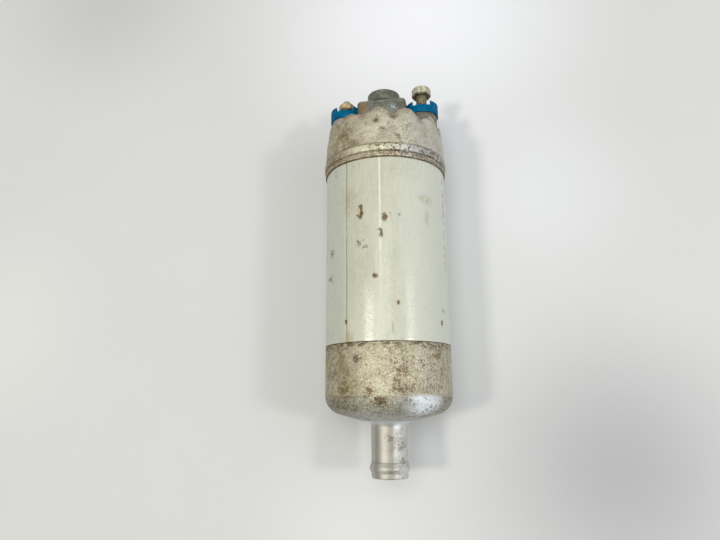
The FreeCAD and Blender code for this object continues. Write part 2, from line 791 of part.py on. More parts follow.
def commutator():
    """Copper segments on the shaft."""
    low = f"({TUBE_TOP} - commutator_drop)"
    high = f"({low} + commutator_length)"
    body = ring("commutator", HUB_BORE, "commutator_radius", low, high)
    slit = rectangle("commutator_radius - commutator_slit_depth", "commutator_radius + overcut",
                     "-commutator_slit / 2", "commutator_slit / 2")
    cut = pocket(body, outline(body, slit, "XZ_Plane", f"{low} + overcut"), "commutator_length")
    repeat(body, [cut], "core_slots")


def brush_gear():
    """Moulded brush plate with its two boxes, brushes and springs."""
    body = new_body("brush_plate")
    inner_wall = f"({PLATE_RADIUS} - cover_skirt_wall)"
    turned(body, [
        ("deck_bore", TUBE_TOP),
        (PLATE_RADIUS, TUBE_TOP),
        (PLATE_RADIUS, COVER_BASE),
        (inner_wall, COVER_BASE),
        (inner_wall, DECK_TOP),
        ("deck_bore", DECK_TOP),
    ])
    for side in ("-", ""):
        near = f"{side}box_inner"
        far = f"{side}({inner_wall} + seat_gap)"
        box = rectangle(near, far, "-box_width / 2", "box_width / 2")
        pad(body, outline(body, box, "XZ_Plane", DECK_TOP), "box_height")
    low = f"({BRUSH_BASE} - seat_gap)"
    high = f"({BRUSH_BASE} + brush_height + seat_gap)"
    channel = rectangle(low, high, "-brush_width / 2 - seat_gap", "brush_width / 2 + seat_gap")
    passage = outline(body, channel, "YZ_Plane")
    pocket(body, passage, f"2 * ({inner_wall} - seat_gap)", both_ways=True)
    brush("brush_right", "")
    brush("brush_left", "-")
    spring_from = "commutator_radius + 2 * seat_gap + brush_length"
    length = f"({inner_wall} - seat_gap) - ({spring_from}) - 2 * seat_gap"
    axis_height = f"({BRUSH_BASE} + brush_height / 2)"
    for label, direction in (("brush_spring_right", 1), ("brush_spring_left", -1)):
        foot = FreeCAD.Vector(direction * value(f"{spring_from} + seat_gap"), value(axis_height), 0)
        way = FreeCAD.Vector(direction, 0, 0)
        coil_spring(label, foot, way, value(length), value("brush_spring_radius"))


def brush(label, side):
    """Carbon brush, hollowed to the commutator."""
    body = new_body(label)
    near = "commutator_radius - brush_wrap"
    far = "commutator_radius + 2 * seat_gap + brush_length"
    block = rectangle(f"{side}({near})", f"{side}({far})", "-brush_width / 2", "brush_width / 2")
    pad(body, outline(body, block, "XZ_Plane", BRUSH_BASE), "brush_height")
    hollow = circles(body, [("0", "0", "commutator_radius + 2 * seat_gap")], f"{BRUSH_BASE} - overcut")
    pocket(body, hollow, "brush_height + 2 * overcut")


def coil_spring(label, foot, way, length, radius):
    """A coil spring of square wire on its foot along the given way, in tilted half turns."""
    wire = value("spring_wire")
    half_turns = 2 * int(SIZES["spring_turns"]) + 1
    rise = (length - 2 * wire) / half_turns
    bend = math.hypot(radius - wire, rise / 2)
    arcs = []
    for half in range(half_turns):
        side = 1 if half % 2 == 0 else -1
        start = FreeCAD.Vector(side * (radius - wire), 0, half * rise)
        end = FreeCAD.Vector(-side * (radius - wire), 0, (half + 1) * rise)
        middle = (start + end) / 2 + FreeCAD.Vector(0, side * bend, 0)
        arcs.append(Part.Arc(start, middle, end).toShape())
    corners = []
    for across, up in ((-wire, -wire), (wire, -wire), (wire, wire), (-wire, wire), (-wire, -wire)):
        corners.append(FreeCAD.Vector(radius - wire + across, 0, up))
    section = Part.makePolygon(corners)
    coil = Part.Wire(arcs).makePipeShell([section], True, False)
    feature = doc.addObject("Part::Feature", "".join(label.title().split("_")))
    feature.Label = label
    feature.Shape = coil
    turn = FreeCAD.Rotation(FreeCAD.Vector(0, 0, 1), way)
    feature.Placement = FreeCAD.Placement(foot + way * wire, turn)
    NODES.append(feature)


def roller_pump():
    """Port plate, eccentric ring, outlet plate, slotted rotor with its rollers, and the drive."""
    port_plate = new_body("port_plate")
    turned(port_plate, rectangle("0", PLATE_RADIUS, PACK_BASE, PORT_TOP))
    port = rectangle("port_inner", "port_outer", f"{PACK_BASE} - overcut", f"{PORT_TOP} + overcut")
    groove(port_plate, port, value("port_span"), 90.0)
    head = [("screw_circle", "0", "screw_head + screw_room")]
    heads = circles(port_plate, head, f"{PACK_BASE} - overcut")
    head_room = pocket(port_plate, heads, "screw_head_height + screw_room + overcut")
    shanks = circles(port_plate, [("screw_circle", "0", "screw_radius + seat_gap")], PACK_BASE)
    shank_room = pocket(port_plate, shanks, "port_plate_thickness + overcut")
    repeat(port_plate, [head_room, shank_room], "screw_count")
    vent = circles(port_plate, [("-relief_offset", "0", "relief_vent")], f"{PACK_BASE} - overcut")
    pocket(port_plate, vent, "port_plate_thickness + 2 * overcut")

    cam_ring = new_body("cam_ring")
    rounds = [("0", "0", PLATE_RADIUS), ("cam_offset", "0", "cam_bore")]
    pad(cam_ring, circles(cam_ring, rounds, PORT_TOP), "cam_width")
    relief = circles(cam_ring, [("-relief_offset", "0", "relief_hole")], f"{PORT_TOP} - overcut")
    pocket(cam_ring, relief, "cam_width + 2 * overcut")
    shanks = circles(cam_ring, [("screw_circle", "0", "screw_radius + seat_gap")], f"{PORT_TOP} - overcut")
    repeat(cam_ring, [pocket(cam_ring, shanks, "cam_width + 2 * overcut")], "screw_count")

    outlet_plate = new_body("outlet_plate")
    turned(outlet_plate, [
        ("drive_recess", CAM_TOP),
        (PLATE_RADIUS, CAM_TOP),
        (PLATE_RADIUS, PLATE_TOP),
        ("bush_hub", PLATE_TOP),
        ("bush_hub", f"{PLATE_TOP} + bush_hub_height"),
        ("bush_radius + seat_gap", f"{PLATE_TOP} + bush_hub_height"),
        ("bush_radius + seat_gap", f"{BUSH_BASE}"),
        ("drive_recess", f"{BUSH_BASE}"),
    ])
    port = rectangle("port_inner", "port_outer", f"{CAM_TOP} - overcut", f"{PLATE_TOP} + overcut")
    groove(outlet_plate, port, value("port_span"), -90.0)
    vent = circles(outlet_plate, [("-relief_offset", "0", "relief_seat")], f"{CAM_TOP} - overcut")
    pocket(outlet_plate, vent, "outlet_plate_thickness + 2 * overcut")
    shank = [("screw_circle", "0", "screw_radius + seat_gap")]
    threads = circles(outlet_plate, shank, f"{CAM_TOP} - overcut")
    hole = pocket(outlet_plate, threads, "screw_grip + screw_end_room + overcut")
    repeat(outlet_plate, [hole], "screw_count")

    pump_rotor()
    pump_rollers()
    drive_coupling()
    pump_screws()


def pump_rotor():
    """Slotted rotor."""
    body = new_body("pump_rotor")
    low = f"({PORT_TOP} + seat_gap)"
    thick = "(cam_width - 2 * seat_gap)"
    rounds = [("0", "0", "rotor_radius"), ("0", "0", HUB_BORE)]
    pad(body, circles(body, rounds, low), thick)
    reach = "(cam_bore - cam_offset - roller_gap)"
    floor = f"({reach} - 2 * roller_radius - 2 * seat_gap)"
    side = "(roller_radius + seat_gap)"
    slot = rectangle(floor, "rotor_radius + overcut", f"-{side}", side)
    cut = pocket(body, outline(body, slot, "XZ_Plane", f"{low} - overcut"), "cam_width + 2 * overcut")
    repeat(body, [cut], "roller_count")
    groove_width = "(tongue_width / 2 + seat_gap)"
    groove_half = "(tongue_length / 2 + seat_gap)"
    key = rectangle(f"-{groove_half}", groove_half, f"-{groove_width}", groove_width)
    key_floor = f"({low} + {thick} - tongue_depth - seat_gap)"
    pocket(body, outline(body, key, "XZ_Plane", key_floor), "tongue_depth + overcut")


def pump_rollers():
    """Steel rollers, one to a slot, at their innermost place."""
    body = new_body("pump_rollers")
    centre = "(cam_bore - cam_offset - roller_gap - roller_radius)"
    roller = circles(body, [(centre, "0", "roller_radius")], f"{PORT_TOP} + seat_gap")
    repeat(body, [pad(body, roller, "cam_width - 2 * seat_gap")], "roller_count")


def drive_coupling():
    """Disc on the shaft whose tongue drives the rotor."""
    body = new_body("drive_coupling")
    low = f"({CAM_TOP} + seat_gap)"
    tongue = rectangle("-tongue_length / 2", "tongue_length / 2", "-tongue_width / 2", "tongue_width / 2")
    tongue_foot = f"{low} - seat_gap - tongue_depth"
    pad(body, outline(body, tongue, "XZ_Plane", tongue_foot), "tongue_depth + overcut")
    pad(body, circles(body, [("0", "0", "drive_recess - coupling_play")], low), "drive_height")
    hole_foot = f"{low} - tongue_depth - overcut"
    groove(body, rectangle("0", HUB_BORE, hole_foot, f"{low} + drive_height + overcut"))


def pump_screws():
    """Screws that hold the pump's three plates together."""
    body = new_body("pump_screws")
    head = circles(body, [("screw_circle", "0", "screw_head")], f"{PACK_BASE} + screw_room")
    head_pad = pad(body, head, "screw_head_height")
    shank = circles(body, [("screw_circle", "0", "screw_radius")], f"{PACK_BASE} + screw_room")
    shank_pad = pad(body, shank, "port_plate_thickness + cam_width + screw_grip - 2 * screw_room")
    repeat(body, [head_pad, shank_pad], "screw_count")


def relief_valve():
    """Ball and spring that let excess pressure back to the inlet side."""
    drop = "(sqrt(relief_ball ^ 2 - relief_seat ^ 2) + seat_gap)"
    ball = doc.addObject("Part::Sphere", "ReliefBall")
    ball.Label = "relief_ball"
    ball.setExpression("Radius", bound("relief_ball"))
    ball.setExpression("Placement.Base.x", bound("-relief_offset"))
    ball.setExpression("Placement.Base.y", bound(f"{CAM_TOP} - {drop}"))
    NODES.append(ball)
    length = value(f"{CAM_TOP} - {drop} - relief_ball - {PORT_TOP} - 2 * seat_gap")
    foot = FreeCAD.Vector(-value("relief_offset"), value(f"{PORT_TOP} + seat_gap"), 0)
    way = FreeCAD.Vector(0, 1, 0)
    coil_spring("relief_spring", foot, way, length, value("relief_spring_radius"))


def check_valve():
    """Sprung poppet in the outlet and the retainer that guides it."""
    poppet = new_body("check_poppet")
    head_top = f"({VALVE_SEAT} + seat_gap + poppet_head)"
    turned(poppet, [
        ("0", f"{VALVE_SEAT} + seat_gap"),
        ("poppet_radius", f"{VALVE_SEAT} + seat_gap"),
        ("poppet_radius", head_top),
        ("poppet_stem", head_top),
        ("poppet_stem", f"{VALVE_SEAT} + poppet_length"),
        ("0", f"{VALVE_SEAT} + poppet_length"),
    ])
    base = f"({VALVE_SEAT} + retainer_lift)"
    retainer = ring("check_retainer", "poppet_stem + running_gap", "valve_bore - seat_gap / 2",
                    base, f"{base} + retainer_height")
    flow = circles(retainer, [("retainer_circle", "0", "retainer_hole")], f"{base} - overcut")
    repeat(retainer, [pocket(retainer, flow, "retainer_height + 2 * overcut")], "retainer_count")
    length = value(f"{base} - {head_top} - 2 * seat_gap")
    foot = FreeCAD.Vector(0, value(f"{head_top} + seat_gap"), 0)
    way = FreeCAD.Vector(0, 1, 0)
    coil_spring("check_spring", foot, way, length, value("check_spring_radius"))


pump_can()
label_wrap()
outlet_cover()
cover_seal()
terminal("positive", "1")
terminal("negative", "-1")
motor()
brush_gear()
roller_pump()
relief_valve()
check_valve()
doc.recompute()

for item in doc.Objects:
    for state in item.State:
        if state in ("Invalid", "Error"):
            raise RuntimeError(f"{item.Label} is {state}")
for node in NODES:
    if node.Shape.isNull() or not node.Shape.isValid():
        raise RuntimeError(f"{node.Label} has no valid shape")
os.makedirs("parts", exist_ok=True)
for node in NODES:
    node.Shape.exportStep(f"parts/{node.Label}.step")
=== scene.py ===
"""In-line fuel pump lying on a light table, seen as in the photograph."""
import math
import bmesh
import bpy
from mathutils import Matrix, Vector, noise


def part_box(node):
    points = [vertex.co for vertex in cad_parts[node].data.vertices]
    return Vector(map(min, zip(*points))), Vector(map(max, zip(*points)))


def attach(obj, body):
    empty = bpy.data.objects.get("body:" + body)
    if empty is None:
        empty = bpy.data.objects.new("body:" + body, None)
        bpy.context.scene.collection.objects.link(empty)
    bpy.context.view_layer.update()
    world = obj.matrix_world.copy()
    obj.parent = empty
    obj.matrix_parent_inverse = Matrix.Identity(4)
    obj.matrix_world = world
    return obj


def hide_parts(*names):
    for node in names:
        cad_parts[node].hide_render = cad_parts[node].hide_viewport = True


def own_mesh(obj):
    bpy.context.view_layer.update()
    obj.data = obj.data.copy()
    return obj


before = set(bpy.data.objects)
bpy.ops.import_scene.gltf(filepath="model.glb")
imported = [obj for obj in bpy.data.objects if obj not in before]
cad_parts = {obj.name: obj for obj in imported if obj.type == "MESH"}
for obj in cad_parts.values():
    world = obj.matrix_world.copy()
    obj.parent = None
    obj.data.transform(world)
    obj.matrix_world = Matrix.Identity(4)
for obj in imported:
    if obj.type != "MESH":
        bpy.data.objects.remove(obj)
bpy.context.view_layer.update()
MM = 0.001
EVEN = (1.0, 1.0, 1.0)

# Camera, in metres and degrees, fitted to the label's outline in the photograph
PHOTO_WIDTH = 720
PHOTO_HEIGHT = 540
SENSOR = 36.0
LENS = 27.985
CAMERA_PLACE = Vector((0.02184, -0.0618, 0.24005))
CAMERA_SWING = 8.0
CAMERA_TILT = 13.53
CAMERA_ROLL = -0.32
FLOOR_LEVEL = -0.0276
SIGHT_START = 0.18
SIGHT_STEP = 0.0001
SIGHT_STEPS = 1500

# The room: its light, and what is seen of it far off
AMBIENT = (0.256, 0.256, 0.27, 1.0)
ROOM = (0.62, 0.62, 0.625, 1.0)
FADE = (260.0, 900.0)

# Drawn can, in mm: radii, and stations along the pump's axis
TAIL_TIP = -90.73
TAIL_RADIUS = 7.5
TAIL_BORE = 6.2
BARB_RADIUS = 8.25
BARB_LOW = -87.37
BARB_HIGH = -86.32
BARB_TOP = -84.43
TAIL_ROOT = -69.23
DOME_CORNER = -64.16
CAP_RADIUS = 26.65
LABEL_END = 38.1
LABEL_SEAT = 26.25
LABEL_RADIUS = 26.6
STOP_RING_RADIUS = 27.2
STOP_RING_TOP = 40.5
BEAD_RADIUS = 27.6
BEAD_TOP = 44.2
COLLAR_RADIUS = 27.2
BEND_RADIUS = 26.5
BEND_STATION = 57.4
RIM = 61.4
RIM_RADIUS = 25.6
LIP_RADIUS = 23.4
CAN_BORE = 24.6
SHOULDER = 55.8
WAVES = 12
WAVE_DEPTH = 2.8
WAVE_LEAD = math.radians(1.2)
SHALLOW_VALLEY = -0.27
LOW_CREST = -0.55
WAVE_UNEVEN = 0.1
VALLEY_SHARPNESS = 1.35
SHARPNESS_SWING = 0.75
SHALLOW_SHARE = 0.3
SHALLOW_WIDTH = 0.22
LOW_CREST_DROP = 0.45
LOW_CREST_WIDTH = 0.16
DIMPLE_DEPTH = 0.85
DIMPLE_BELOW = 1.4
DIMPLE_REACH = 2.1
FLARE = 0.25
DENT = 0.06
DENT_SINK = 0.04
CAN_SIDES = 384
LABEL_SIDES = 320

# Sleeve and outlet cover, in mm
LAP = 0.16
RAGGED = 0.06
MARKED_STATION = -75.0
BLOCK_REACH = 10.8
BLOCK_TOP = 74.0
BOSS_FROM = 11.5
EDGE_ROUND = 0.3
SOFT_FROM = math.radians(35.0)

# Studs, nuts and springs, in mm, and the nuts' dark, light and dirty tones
# The third tone of each nut is its dirt, and also the painted shade under it.
NUT_ZINC = ((160, 154, 128), (206, 200, 176), (84, 76, 54))
NUT_BRASS = ((142, 130, 92), (204, 182, 140), (86, 80, 54))
STUD_HEAD = 2.5
STUD_HEAD_RADIUS = 4.0
PLAIN_SHANK = 4.0
THREAD_DEPTH = 0.61
GROOVE_HALF = 0.38
GROOVE_FLAT = 1.1
THREAD_RINGS = 10
SPRING_WIRE = 0.22
SPRING_TURNS = 5.5
SPRING_STEPS = 176
SPRING_END = 0.1
WIRE_SIDES = 12
STUD_SIDES = 48
CROWN_STEPS = 8
NUT_SIDES = 96
NUT_LEVELS = 14
NUT_CHAMFER = 0.35
NUT_FACE = 0.97
NUT_CORNER = 0.16
NUT_CONE = 1.9

# Marks, by their place in the photograph
SEAM = (346.5, 250)
CREASE = (379.5, 190)
CHIP_LARGE = (360, 212)
CHIP_LARGE_HOLLOW = (358.4, 211)
CHIP_MIDDLE = (384.5, 216.5)
CHIP_SMALL = (380.5, 232)
CHIP_SMALL_HOLLOW = (378.6, 232)
CHIP_RIGHT = (390.5, 214)
CHIP_FAR = (399.5, 214)
CHIP_LOW = (360, 242.5)
CHIP_LOWER = (365, 246)
CHIP_BELOW = (375, 275.5)
CHIP_BOTTOM = (398.5, 302.5)
CHIP_LEFT = (332, 254)
CHIP_LEFT_LOWER = (331, 279)
CHIP_LEFT_TOP = (335.6, 175)
DRIP_TOP = (417.5, 161.5)
DRIP_HIGH = (426, 200)
DRIP_LOW = (427, 218)
SEAM_RUST = (346, 322)
SEAM_STAIN = (349.5, 338.5)
SEAM_FOOT = (348, 342)
# Where the two painted highlights on the sleeve lie
PAINTED_HIGHLIGHT_LEFT = (369.5, 336)
PAINTED_HIGHLIGHT_RIGHT = (411, 318)
SCRATCH = (393, 327)
EDGE_CHIP = (442, 323)
EDGE_CHIP_HIGH = (443, 311)
HEM = (443.5, 225)
SMEAR_LEFT = (349, 200)
SMEAR_TOP = (405, 168)
CAP_BLOTCH_LEFT = (368, 392)
CAP_BLOTCH_MIDDLE = (380, 401)
CAP_BLOTCH_RIGHT = (401, 389)
CAP_BLOTCH_LOW = (399, 371)
CAP_SPECKS = (356, 358)
CAP_SPECKS_RIGHT = (432, 388)
CAP_SPECKS_LOW = (405, 392)
CAP_BROWN_MIDDLE = (398, 377)
CAP_BROWN_EDGE = (437, 354)
CAP_OLIVE = (345, 390)
DOME_HIGHLIGHT = (427, 403)
DOME_FLECKS = (432, 410)
TAIL_RUST = (400, 445)
TAIL_RUST_HIGH = (391, 440)
TAIL_RUST_LOW = (402, 462)
TAIL_RUST_LIP = (393, 471)
TAIL_GLINT = (398, 425)
COLLAR_SPOT = (376, 120)
COLLAR_MARK = (382, 128)
COLLAR_MARK_RIGHT = (398, 135)
COLLAR_STAIN = (345, 134)
COLLAR_STAIN_LOW = (351, 145)
COLLAR_STAIN_RIGHT = (425, 132)
COLLAR_SPECKS = (389, 123)
COLLAR_FOLD = (394, 114)
CASTING_RUST = (364, 112)
CASTING_SCUFF = (392.5, 109)

# The table: its half length in metres, and the places in the photograph of its painted pools of light
# and painted dimness
TABLE_HALF = 3.0
TABLE_BRIGHT = (420, 10)
TABLE_RIGHT = (535, 190)
TABLE_DIM_TOP = (110, 0)
TABLE_DIM_LOW = (620, 470)
TABLE_EDGE = (0, 330)
TABLE_LOW = (350, 540)


def srgb(red, green, blue):
    """A colour picked by its 0 to 255 screen values, as linear RGBA."""
    def linear(level):
        part = level / 255
        return part / 12.92 if part <= 0.04045 else ((part + 0.055) / 1.055) ** 2.4
    return (linear(red), linear(green), linear(blue), 1.0)


def smooth(value, low, high):
    """0 below low, 1 above high and a smooth rise between."""
    part = min(max((value - low) / (high - low), 0.0), 1.0)
    return part * part * (3 - 2 * part)


# Camera

def camera_matrix():
    """Where the photograph was taken from."""
    swing = Matrix.Rotation(math.radians(CAMERA_SWING), 4, "Y")
    tilt = Matrix.Rotation(math.radians(CAMERA_TILT), 4, "X")
    roll = Matrix.Rotation(math.radians(CAMERA_ROLL), 4, "Z")
    return Matrix.Translation(CAMERA_PLACE) @ swing @ tilt @ roll


def make_camera():
    """The scene's camera."""
    data = bpy.data.cameras.new("photo_camera")
    data.sensor_width = SENSOR
    data.lens = LENS
    camera = bpy.data.objects.new("photo_camera", data)
    bpy.context.scene.collection.objects.link(camera)
    camera.matrix_world = camera_matrix()
    bpy.context.scene.camera = camera


def surface_radius(station):
    """The can's outline at a station, in mm."""
    outline = [
        (TAIL_TIP, TAIL_RADIUS),
        (TAIL_ROOT, TAIL_RADIUS),
        (DOME_CORNER - 1.0, CAP_RADIUS - 7.0),
        (DOME_CORNER + 1.5, CAP_RADIUS - 1.6),
        (DOME_CORNER + 6.0, CAP_RADIUS),
        (LABEL_END, LABEL_RADIUS),
        (STOP_RING_TOP, BEAD_RADIUS),
        (BEAD_TOP, BEAD_RADIUS),
        (BEND_STATION, BEND_RADIUS),
        (RIM, RIM_RADIUS),
        (RIM + 0.1, BLOCK_REACH),
        (RIM + 20.0, BLOCK_REACH),
    ]
    for (low, near), (high, far) in zip(outline, outline[1:]):
        if low <= station <= high:
            return near + (far - near) * (station - low) / (high - low)
    return 0.0


def block_radius(station):
    """The spanner block's outline, in mm: the same at every station."""
    return BLOCK_REACH if station > RIM - 6.0 else 0.0


def sight(pixel):
    """The way from the camera through a pixel of the photograph."""
    across = (pixel[0] - PHOTO_WIDTH / 2) / PHOTO_WIDTH * SENSOR / LENS
    up = (PHOTO_HEIGHT / 2 - pixel[1]) / PHOTO_WIDTH * SENSOR / LENS
    return camera_matrix().to_3x3() @ Vector((across, up, -1.0))


def seen_at(pixel, outline=surface_radius):
    """The point of an outline seen at a pixel of the photograph, in mm."""
    way = sight(pixel)
    for step in range(SIGHT_STEPS):
        point = (CAMERA_PLACE + way * (SIGHT_START + step * SIGHT_STEP)) / MM
        if math.hypot(point.x, point.z) <= outline(point.y):
            return point
    raise RuntimeError(f"nothing is seen at {pixel}")


def bearing(point):
    """The point's turn about the pump's axis, from +Z towards +X."""
    return math.atan2(point.x, point.z)


# Materials

class Recipe:
    """A material's nodes, built one at a time. Places are in mm."""

    def __init__(self, name):
        self.material = bpy.data.materials.new(name)
        self.material.use_nodes = True
        self.tree = self.material.node_tree
        self.tree.nodes.clear()
        self.output = self.node("ShaderNodeOutputMaterial")
        self.shader = self.node("ShaderNodeBsdfPrincipled")
        self.tree.links.new(self.shader.outputs["BSDF"], self.output.inputs["Surface"])
        self.place = self.node("ShaderNodeTexCoord").outputs["Object"]
        self.place = self.stretch((1 / MM, 1 / MM, 1 / MM))
        self.parts = None
        self.colour = None
        self.normal = None

    def node(self, kind, inputs=None, **settings):
        """A new node with its settings made and its inputs linked or set."""
        made = self.tree.nodes.new(kind)
        for name, value in settings.items():
            setattr(made, name, value)
        for key, value in (inputs or {}).items():
            self.put(made.inputs[key], value)
        return made

    def put(self, socket, value):
        """Link or set an input."""
        if isinstance(value, bpy.types.NodeSocket):
            self.tree.links.new(value, socket)
        else:
            socket.default_value = value

    def math(self, operation, *values):
        """One sum of numbers."""
        made = self.node("ShaderNodeMath", dict(enumerate(values)), operation=operation)
        return made.outputs[0]

    def vector(self, operation, *values):
        """One sum of vectors, as its node."""
        return self.node("ShaderNodeVectorMath", dict(enumerate(values)), operation=operation)

    def stretch(self, scale):
        """The place multiplied along each axis."""
        return self.vector("MULTIPLY", self.place, scale).outputs["Vector"]

    def away(self, point, squash=EVEN):
        """The distance from a point, counted less or more along each axis."""
        centre = [part * by for part, by in zip(point, squash)]
        return self.vector("DISTANCE", self.stretch(squash), centre).outputs["Value"]

    def split(self):
        """The place's X, Y and Z in mm."""
        if self.parts is None:
            self.parts = self.node("ShaderNodeSeparateXYZ", {0: self.place}).outputs
        return self.parts

    def turn(self):
        """Turn about the pump's axis, from +Z towards +X."""
        x, _, z = self.split()
        return self.math("ARCTAN2", x, z)

    def noise(self, scale, detail=4.0, roughness=0.55, distortion=0.0, drawn=None):
        """Noise with features of about 1 / scale mm, drawn out where its scales are small."""
        made = self.node("ShaderNodeTexNoise", {
            "Vector": self.place if drawn is None else self.stretch(drawn),
            "Scale": scale,
            "Detail": detail,
            "Roughness": roughness,
            "Distortion": distortion,
        })
        return made.outputs["Fac"]

    def grime(self, scale, low, high):
        """Ragged patches, about 1 / scale mm across."""
        return self.rise(self.noise(scale, 8.0, 0.7, 0.5), low, high)

    def flecks(self, scale, share, drawn=None):
        """Crisp flecks of every size below 1 / scale mm; fewer for a larger share."""
        fine = self.noise(scale, 8.0, 0.78, 0.3, drawn)
        gather = self.math("MULTIPLY_ADD", self.noise(scale * 0.3, 3.0, 0.6), 0.3, -0.15)
        return self.rise(self.math("ADD", fine, gather), share, share + 0.03)

    def pitted(self, scale, share):
        """Scattered pits of uneven size, about 1 / scale mm apart."""
        warp = self.math("MULTIPLY_ADD", self.noise(scale * 1.6, 4.0, 0.8), 1.0, -0.5)
        return self.rise(self.math("ADD", self.cells(scale), warp), share, share - 0.06)

    def cells(self, scale):
        """Distance to the nearest of scattered points."""
        made = self.node("ShaderNodeTexVoronoi", {"Vector": self.place, "Scale": scale})
        return made.outputs["Distance"]

    def rise(self, value, low, high):
        """0 below low, 1 above high; the other way round when low is above high."""
        made = self.node("ShaderNodeMapRange", {
            "Value": value,
            "From Min": min(low, high),
            "From Max": max(low, high),
            "To Min": float(low > high),
            "To Max": float(low < high),
        }, interpolation_type="SMOOTHSTEP")
        return made.outputs["Result"]

    def band(self, value, middle, half, soft):
        """1 within half of the middle, falling to 0 over soft."""
        away = self.math("ABSOLUTE", self.math("SUBTRACT", value, middle))
        return self.rise(away, half + soft, half)

    def spot(self, pixel, radius, ragged=0.5, squash=EVEN, core=0.45, outline=surface_radius):
        """A ragged mark where the photograph shows it, full inside its core share."""
        away = self.away(seen_at(pixel, outline), squash)
        wobble = self.noise(1.7 / radius, 4.0, 0.75)
        spread = self.math("MULTIPLY_ADD", wobble, -2 * ragged * radius, ragged * radius)
        return self.rise(self.math("ADD", away, spread), radius, radius * core)

    def chip(self, pixel, radius, squash=EVEN, core=0.6):
        """A crisp chip, eaten at its edges."""
        mark = self.spot(pixel, radius, 1.0, squash, core)
        return self.scale(mark, self.rise(self.noise(2.6, 4.0, 0.7), 0.35, 0.42))

    def specks(self, pixel, radius, share=0.56):
        """A cluster of fine specks."""
        cloud = self.spot(pixel, radius * 1.3, 1.4, core=0.0)
        depth = self.math("MULTIPLY_ADD", cloud, -0.14, 0.14 + share)
        value = self.math("SUBTRACT", self.noise(1.3, 6.0, 0.82, 0.8), depth)
        return self.rise(value, -0.025, 0.0)

    def clusters(self, *places):
        """Several clusters of specks, each by its pixel, radius and share."""
        return self.join(*(self.specks(*place) for place in places))

    def crescent(self, pixel, hollow, radius, squash):
        """A chip with its middle or one side left whole."""
        whole = self.chip(pixel, radius, squash, 0.7)
        kept = self.spot(hollow, radius * 0.62, 0.6, squash, 0.6)
        return self.scale(whole, self.inverse(kept))

    def join(self, *masks):
        """The strongest of several masks."""
        strongest = masks[0]
        for mask in masks[1:]:
            strongest = self.math("MAXIMUM", strongest, mask)
        return strongest

    def scale(self, mask, *others):
        """A mask made weaker by a number, or kept to another mask."""
        for other in others:
            mask = self.math("MULTIPLY", mask, other)
        return mask

    def inverse(self, mask):
        """1 where the mask is 0."""
        return self.math("SUBTRACT", 1.0, mask)

    def mix(self, mask, *colours):
        """Two colours by a mask, each an output or 0 to 255 screen values."""
        first, second = (srgb(*tone) if isinstance(tone, tuple) else tone for tone in colours)
        made = self.node("ShaderNodeMix", {"Factor": mask, 6: first, 7: second}, data_type="RGBA")
        return made.outputs[2]

    def ground(self, mask, first, second):
        """Begin the colour, from the first to the second by a mask."""
        self.colour = self.mix(mask, first, second)

    def wash(self, mask, tone, share=1.0):
        """Lay a tone over the colour so far, where the mask is and as strong as the share."""
        if share != 1.0:
            mask = self.scale(mask, share)
        self.colour = self.mix(mask, self.colour, tone)

    def level(self, mask, first, second):
        """From the first number to the second by a mask."""
        return self.math("MULTIPLY_ADD", mask, second - first, first)

    def bump(self, height, depth):
        """Raise the surface so far by height times depth in mm."""
        inputs = {"Strength": 1.0, "Distance": depth * MM, "Height": height}
        if self.normal is not None:
            inputs["Normal"] = self.normal
        self.normal = self.node("ShaderNodeBump", inputs).outputs["Normal"]

    def finish(self, roughness, metallic=0.0, coat=0.0, coat_roughness=0.1):
        """Wire the shader's inputs."""
        self.put(self.shader.inputs["Base Color"], self.colour)
        self.put(self.shader.inputs["Roughness"], roughness)
        self.put(self.shader.inputs["Metallic"], metallic)
        self.put(self.shader.inputs["Normal"], self.normal)
        self.shader.inputs["Coat Weight"].default_value = coat
        self.shader.inputs["Coat Roughness"].default_value = coat_roughness
        return self.material


def collar_stains(paint, left, mottle):
    """Olive and brown stains, and a brown halo round the rusty spot."""
    olive = paint.scale(paint.grime(0.34, 0.46, 0.62), left)
    paint.wash(olive, (120, 103, 54), 0.6)
    stain = paint.join(
        paint.spot(COLLAR_STAIN, 4.6, 1.0),
        paint.spot(COLLAR_STAIN_LOW, 4.0, 1.0),
        paint.scale(paint.spot(COLLAR_STAIN_RIGHT, 3.4, 1.0, (1.0, 0.6, 1.0), 0.1), 0.6),
    )
    paint.wash(paint.rise(paint.scale(stain, mottle), 0.0, 0.95), (116, 96, 42))
    halo = paint.scale(paint.spot(COLLAR_SPOT, 3.2, 1.0, core=0.0), mottle)
    paint.wash(halo, (128, 106, 66), 0.8)


def collar_folds(paint, turn, station, mottle):
    """Brown in the valleys of the rim's waves and along its edge."""
    waved = paint.math("COSINE", paint.scale(paint.math("ADD", turn, WAVE_LEAD), WAVES))
    valley = paint.rise(waved, 0.1, -0.95)
    fold = paint.scale(valley, paint.rise(station, RIM - 7.0, RIM - 3.6))
    edge = paint.scale(paint.rise(station, RIM - 3.8, RIM - 0.8), paint.grime(0.5, 0.4, 0.54))
    # Darker flecked line along the bottoms of the rim's valleys.
    valley_line = paint.scale(paint.rise(valley, 0.86, 1.0), paint.rise(station, RIM - 6.0, RIM - 4.0))
    valley_line = paint.scale(valley_line, paint.flecks(0.9, 0.46))
    brown = paint.join(edge, paint.scale(fold, mottle), valley_line)
    paint.wash(brown, (124, 98, 68), 0.66)


def collar_rust(paint):
    """Rusty spots, dark and speckled."""
    rusty = paint.join(
        paint.spot(COLLAR_SPOT, 1.2, 0.9, core=0.5),
        paint.clusters(
            (COLLAR_SPOT, 2.0, 0.52),
            (COLLAR_SPECKS, 2.4, 0.55),
            (COLLAR_MARK, 1.5, 0.46),
            (COLLAR_MARK_RIGHT, 1.4, 0.47),
        ),
        paint.scale(paint.spot(COLLAR_FOLD, 3.0, 1.0, core=0.0), paint.flecks(0.9, 0.44)),
    )
    paint.wash(rusty, (84, 64, 34), 0.8)
    return rusty


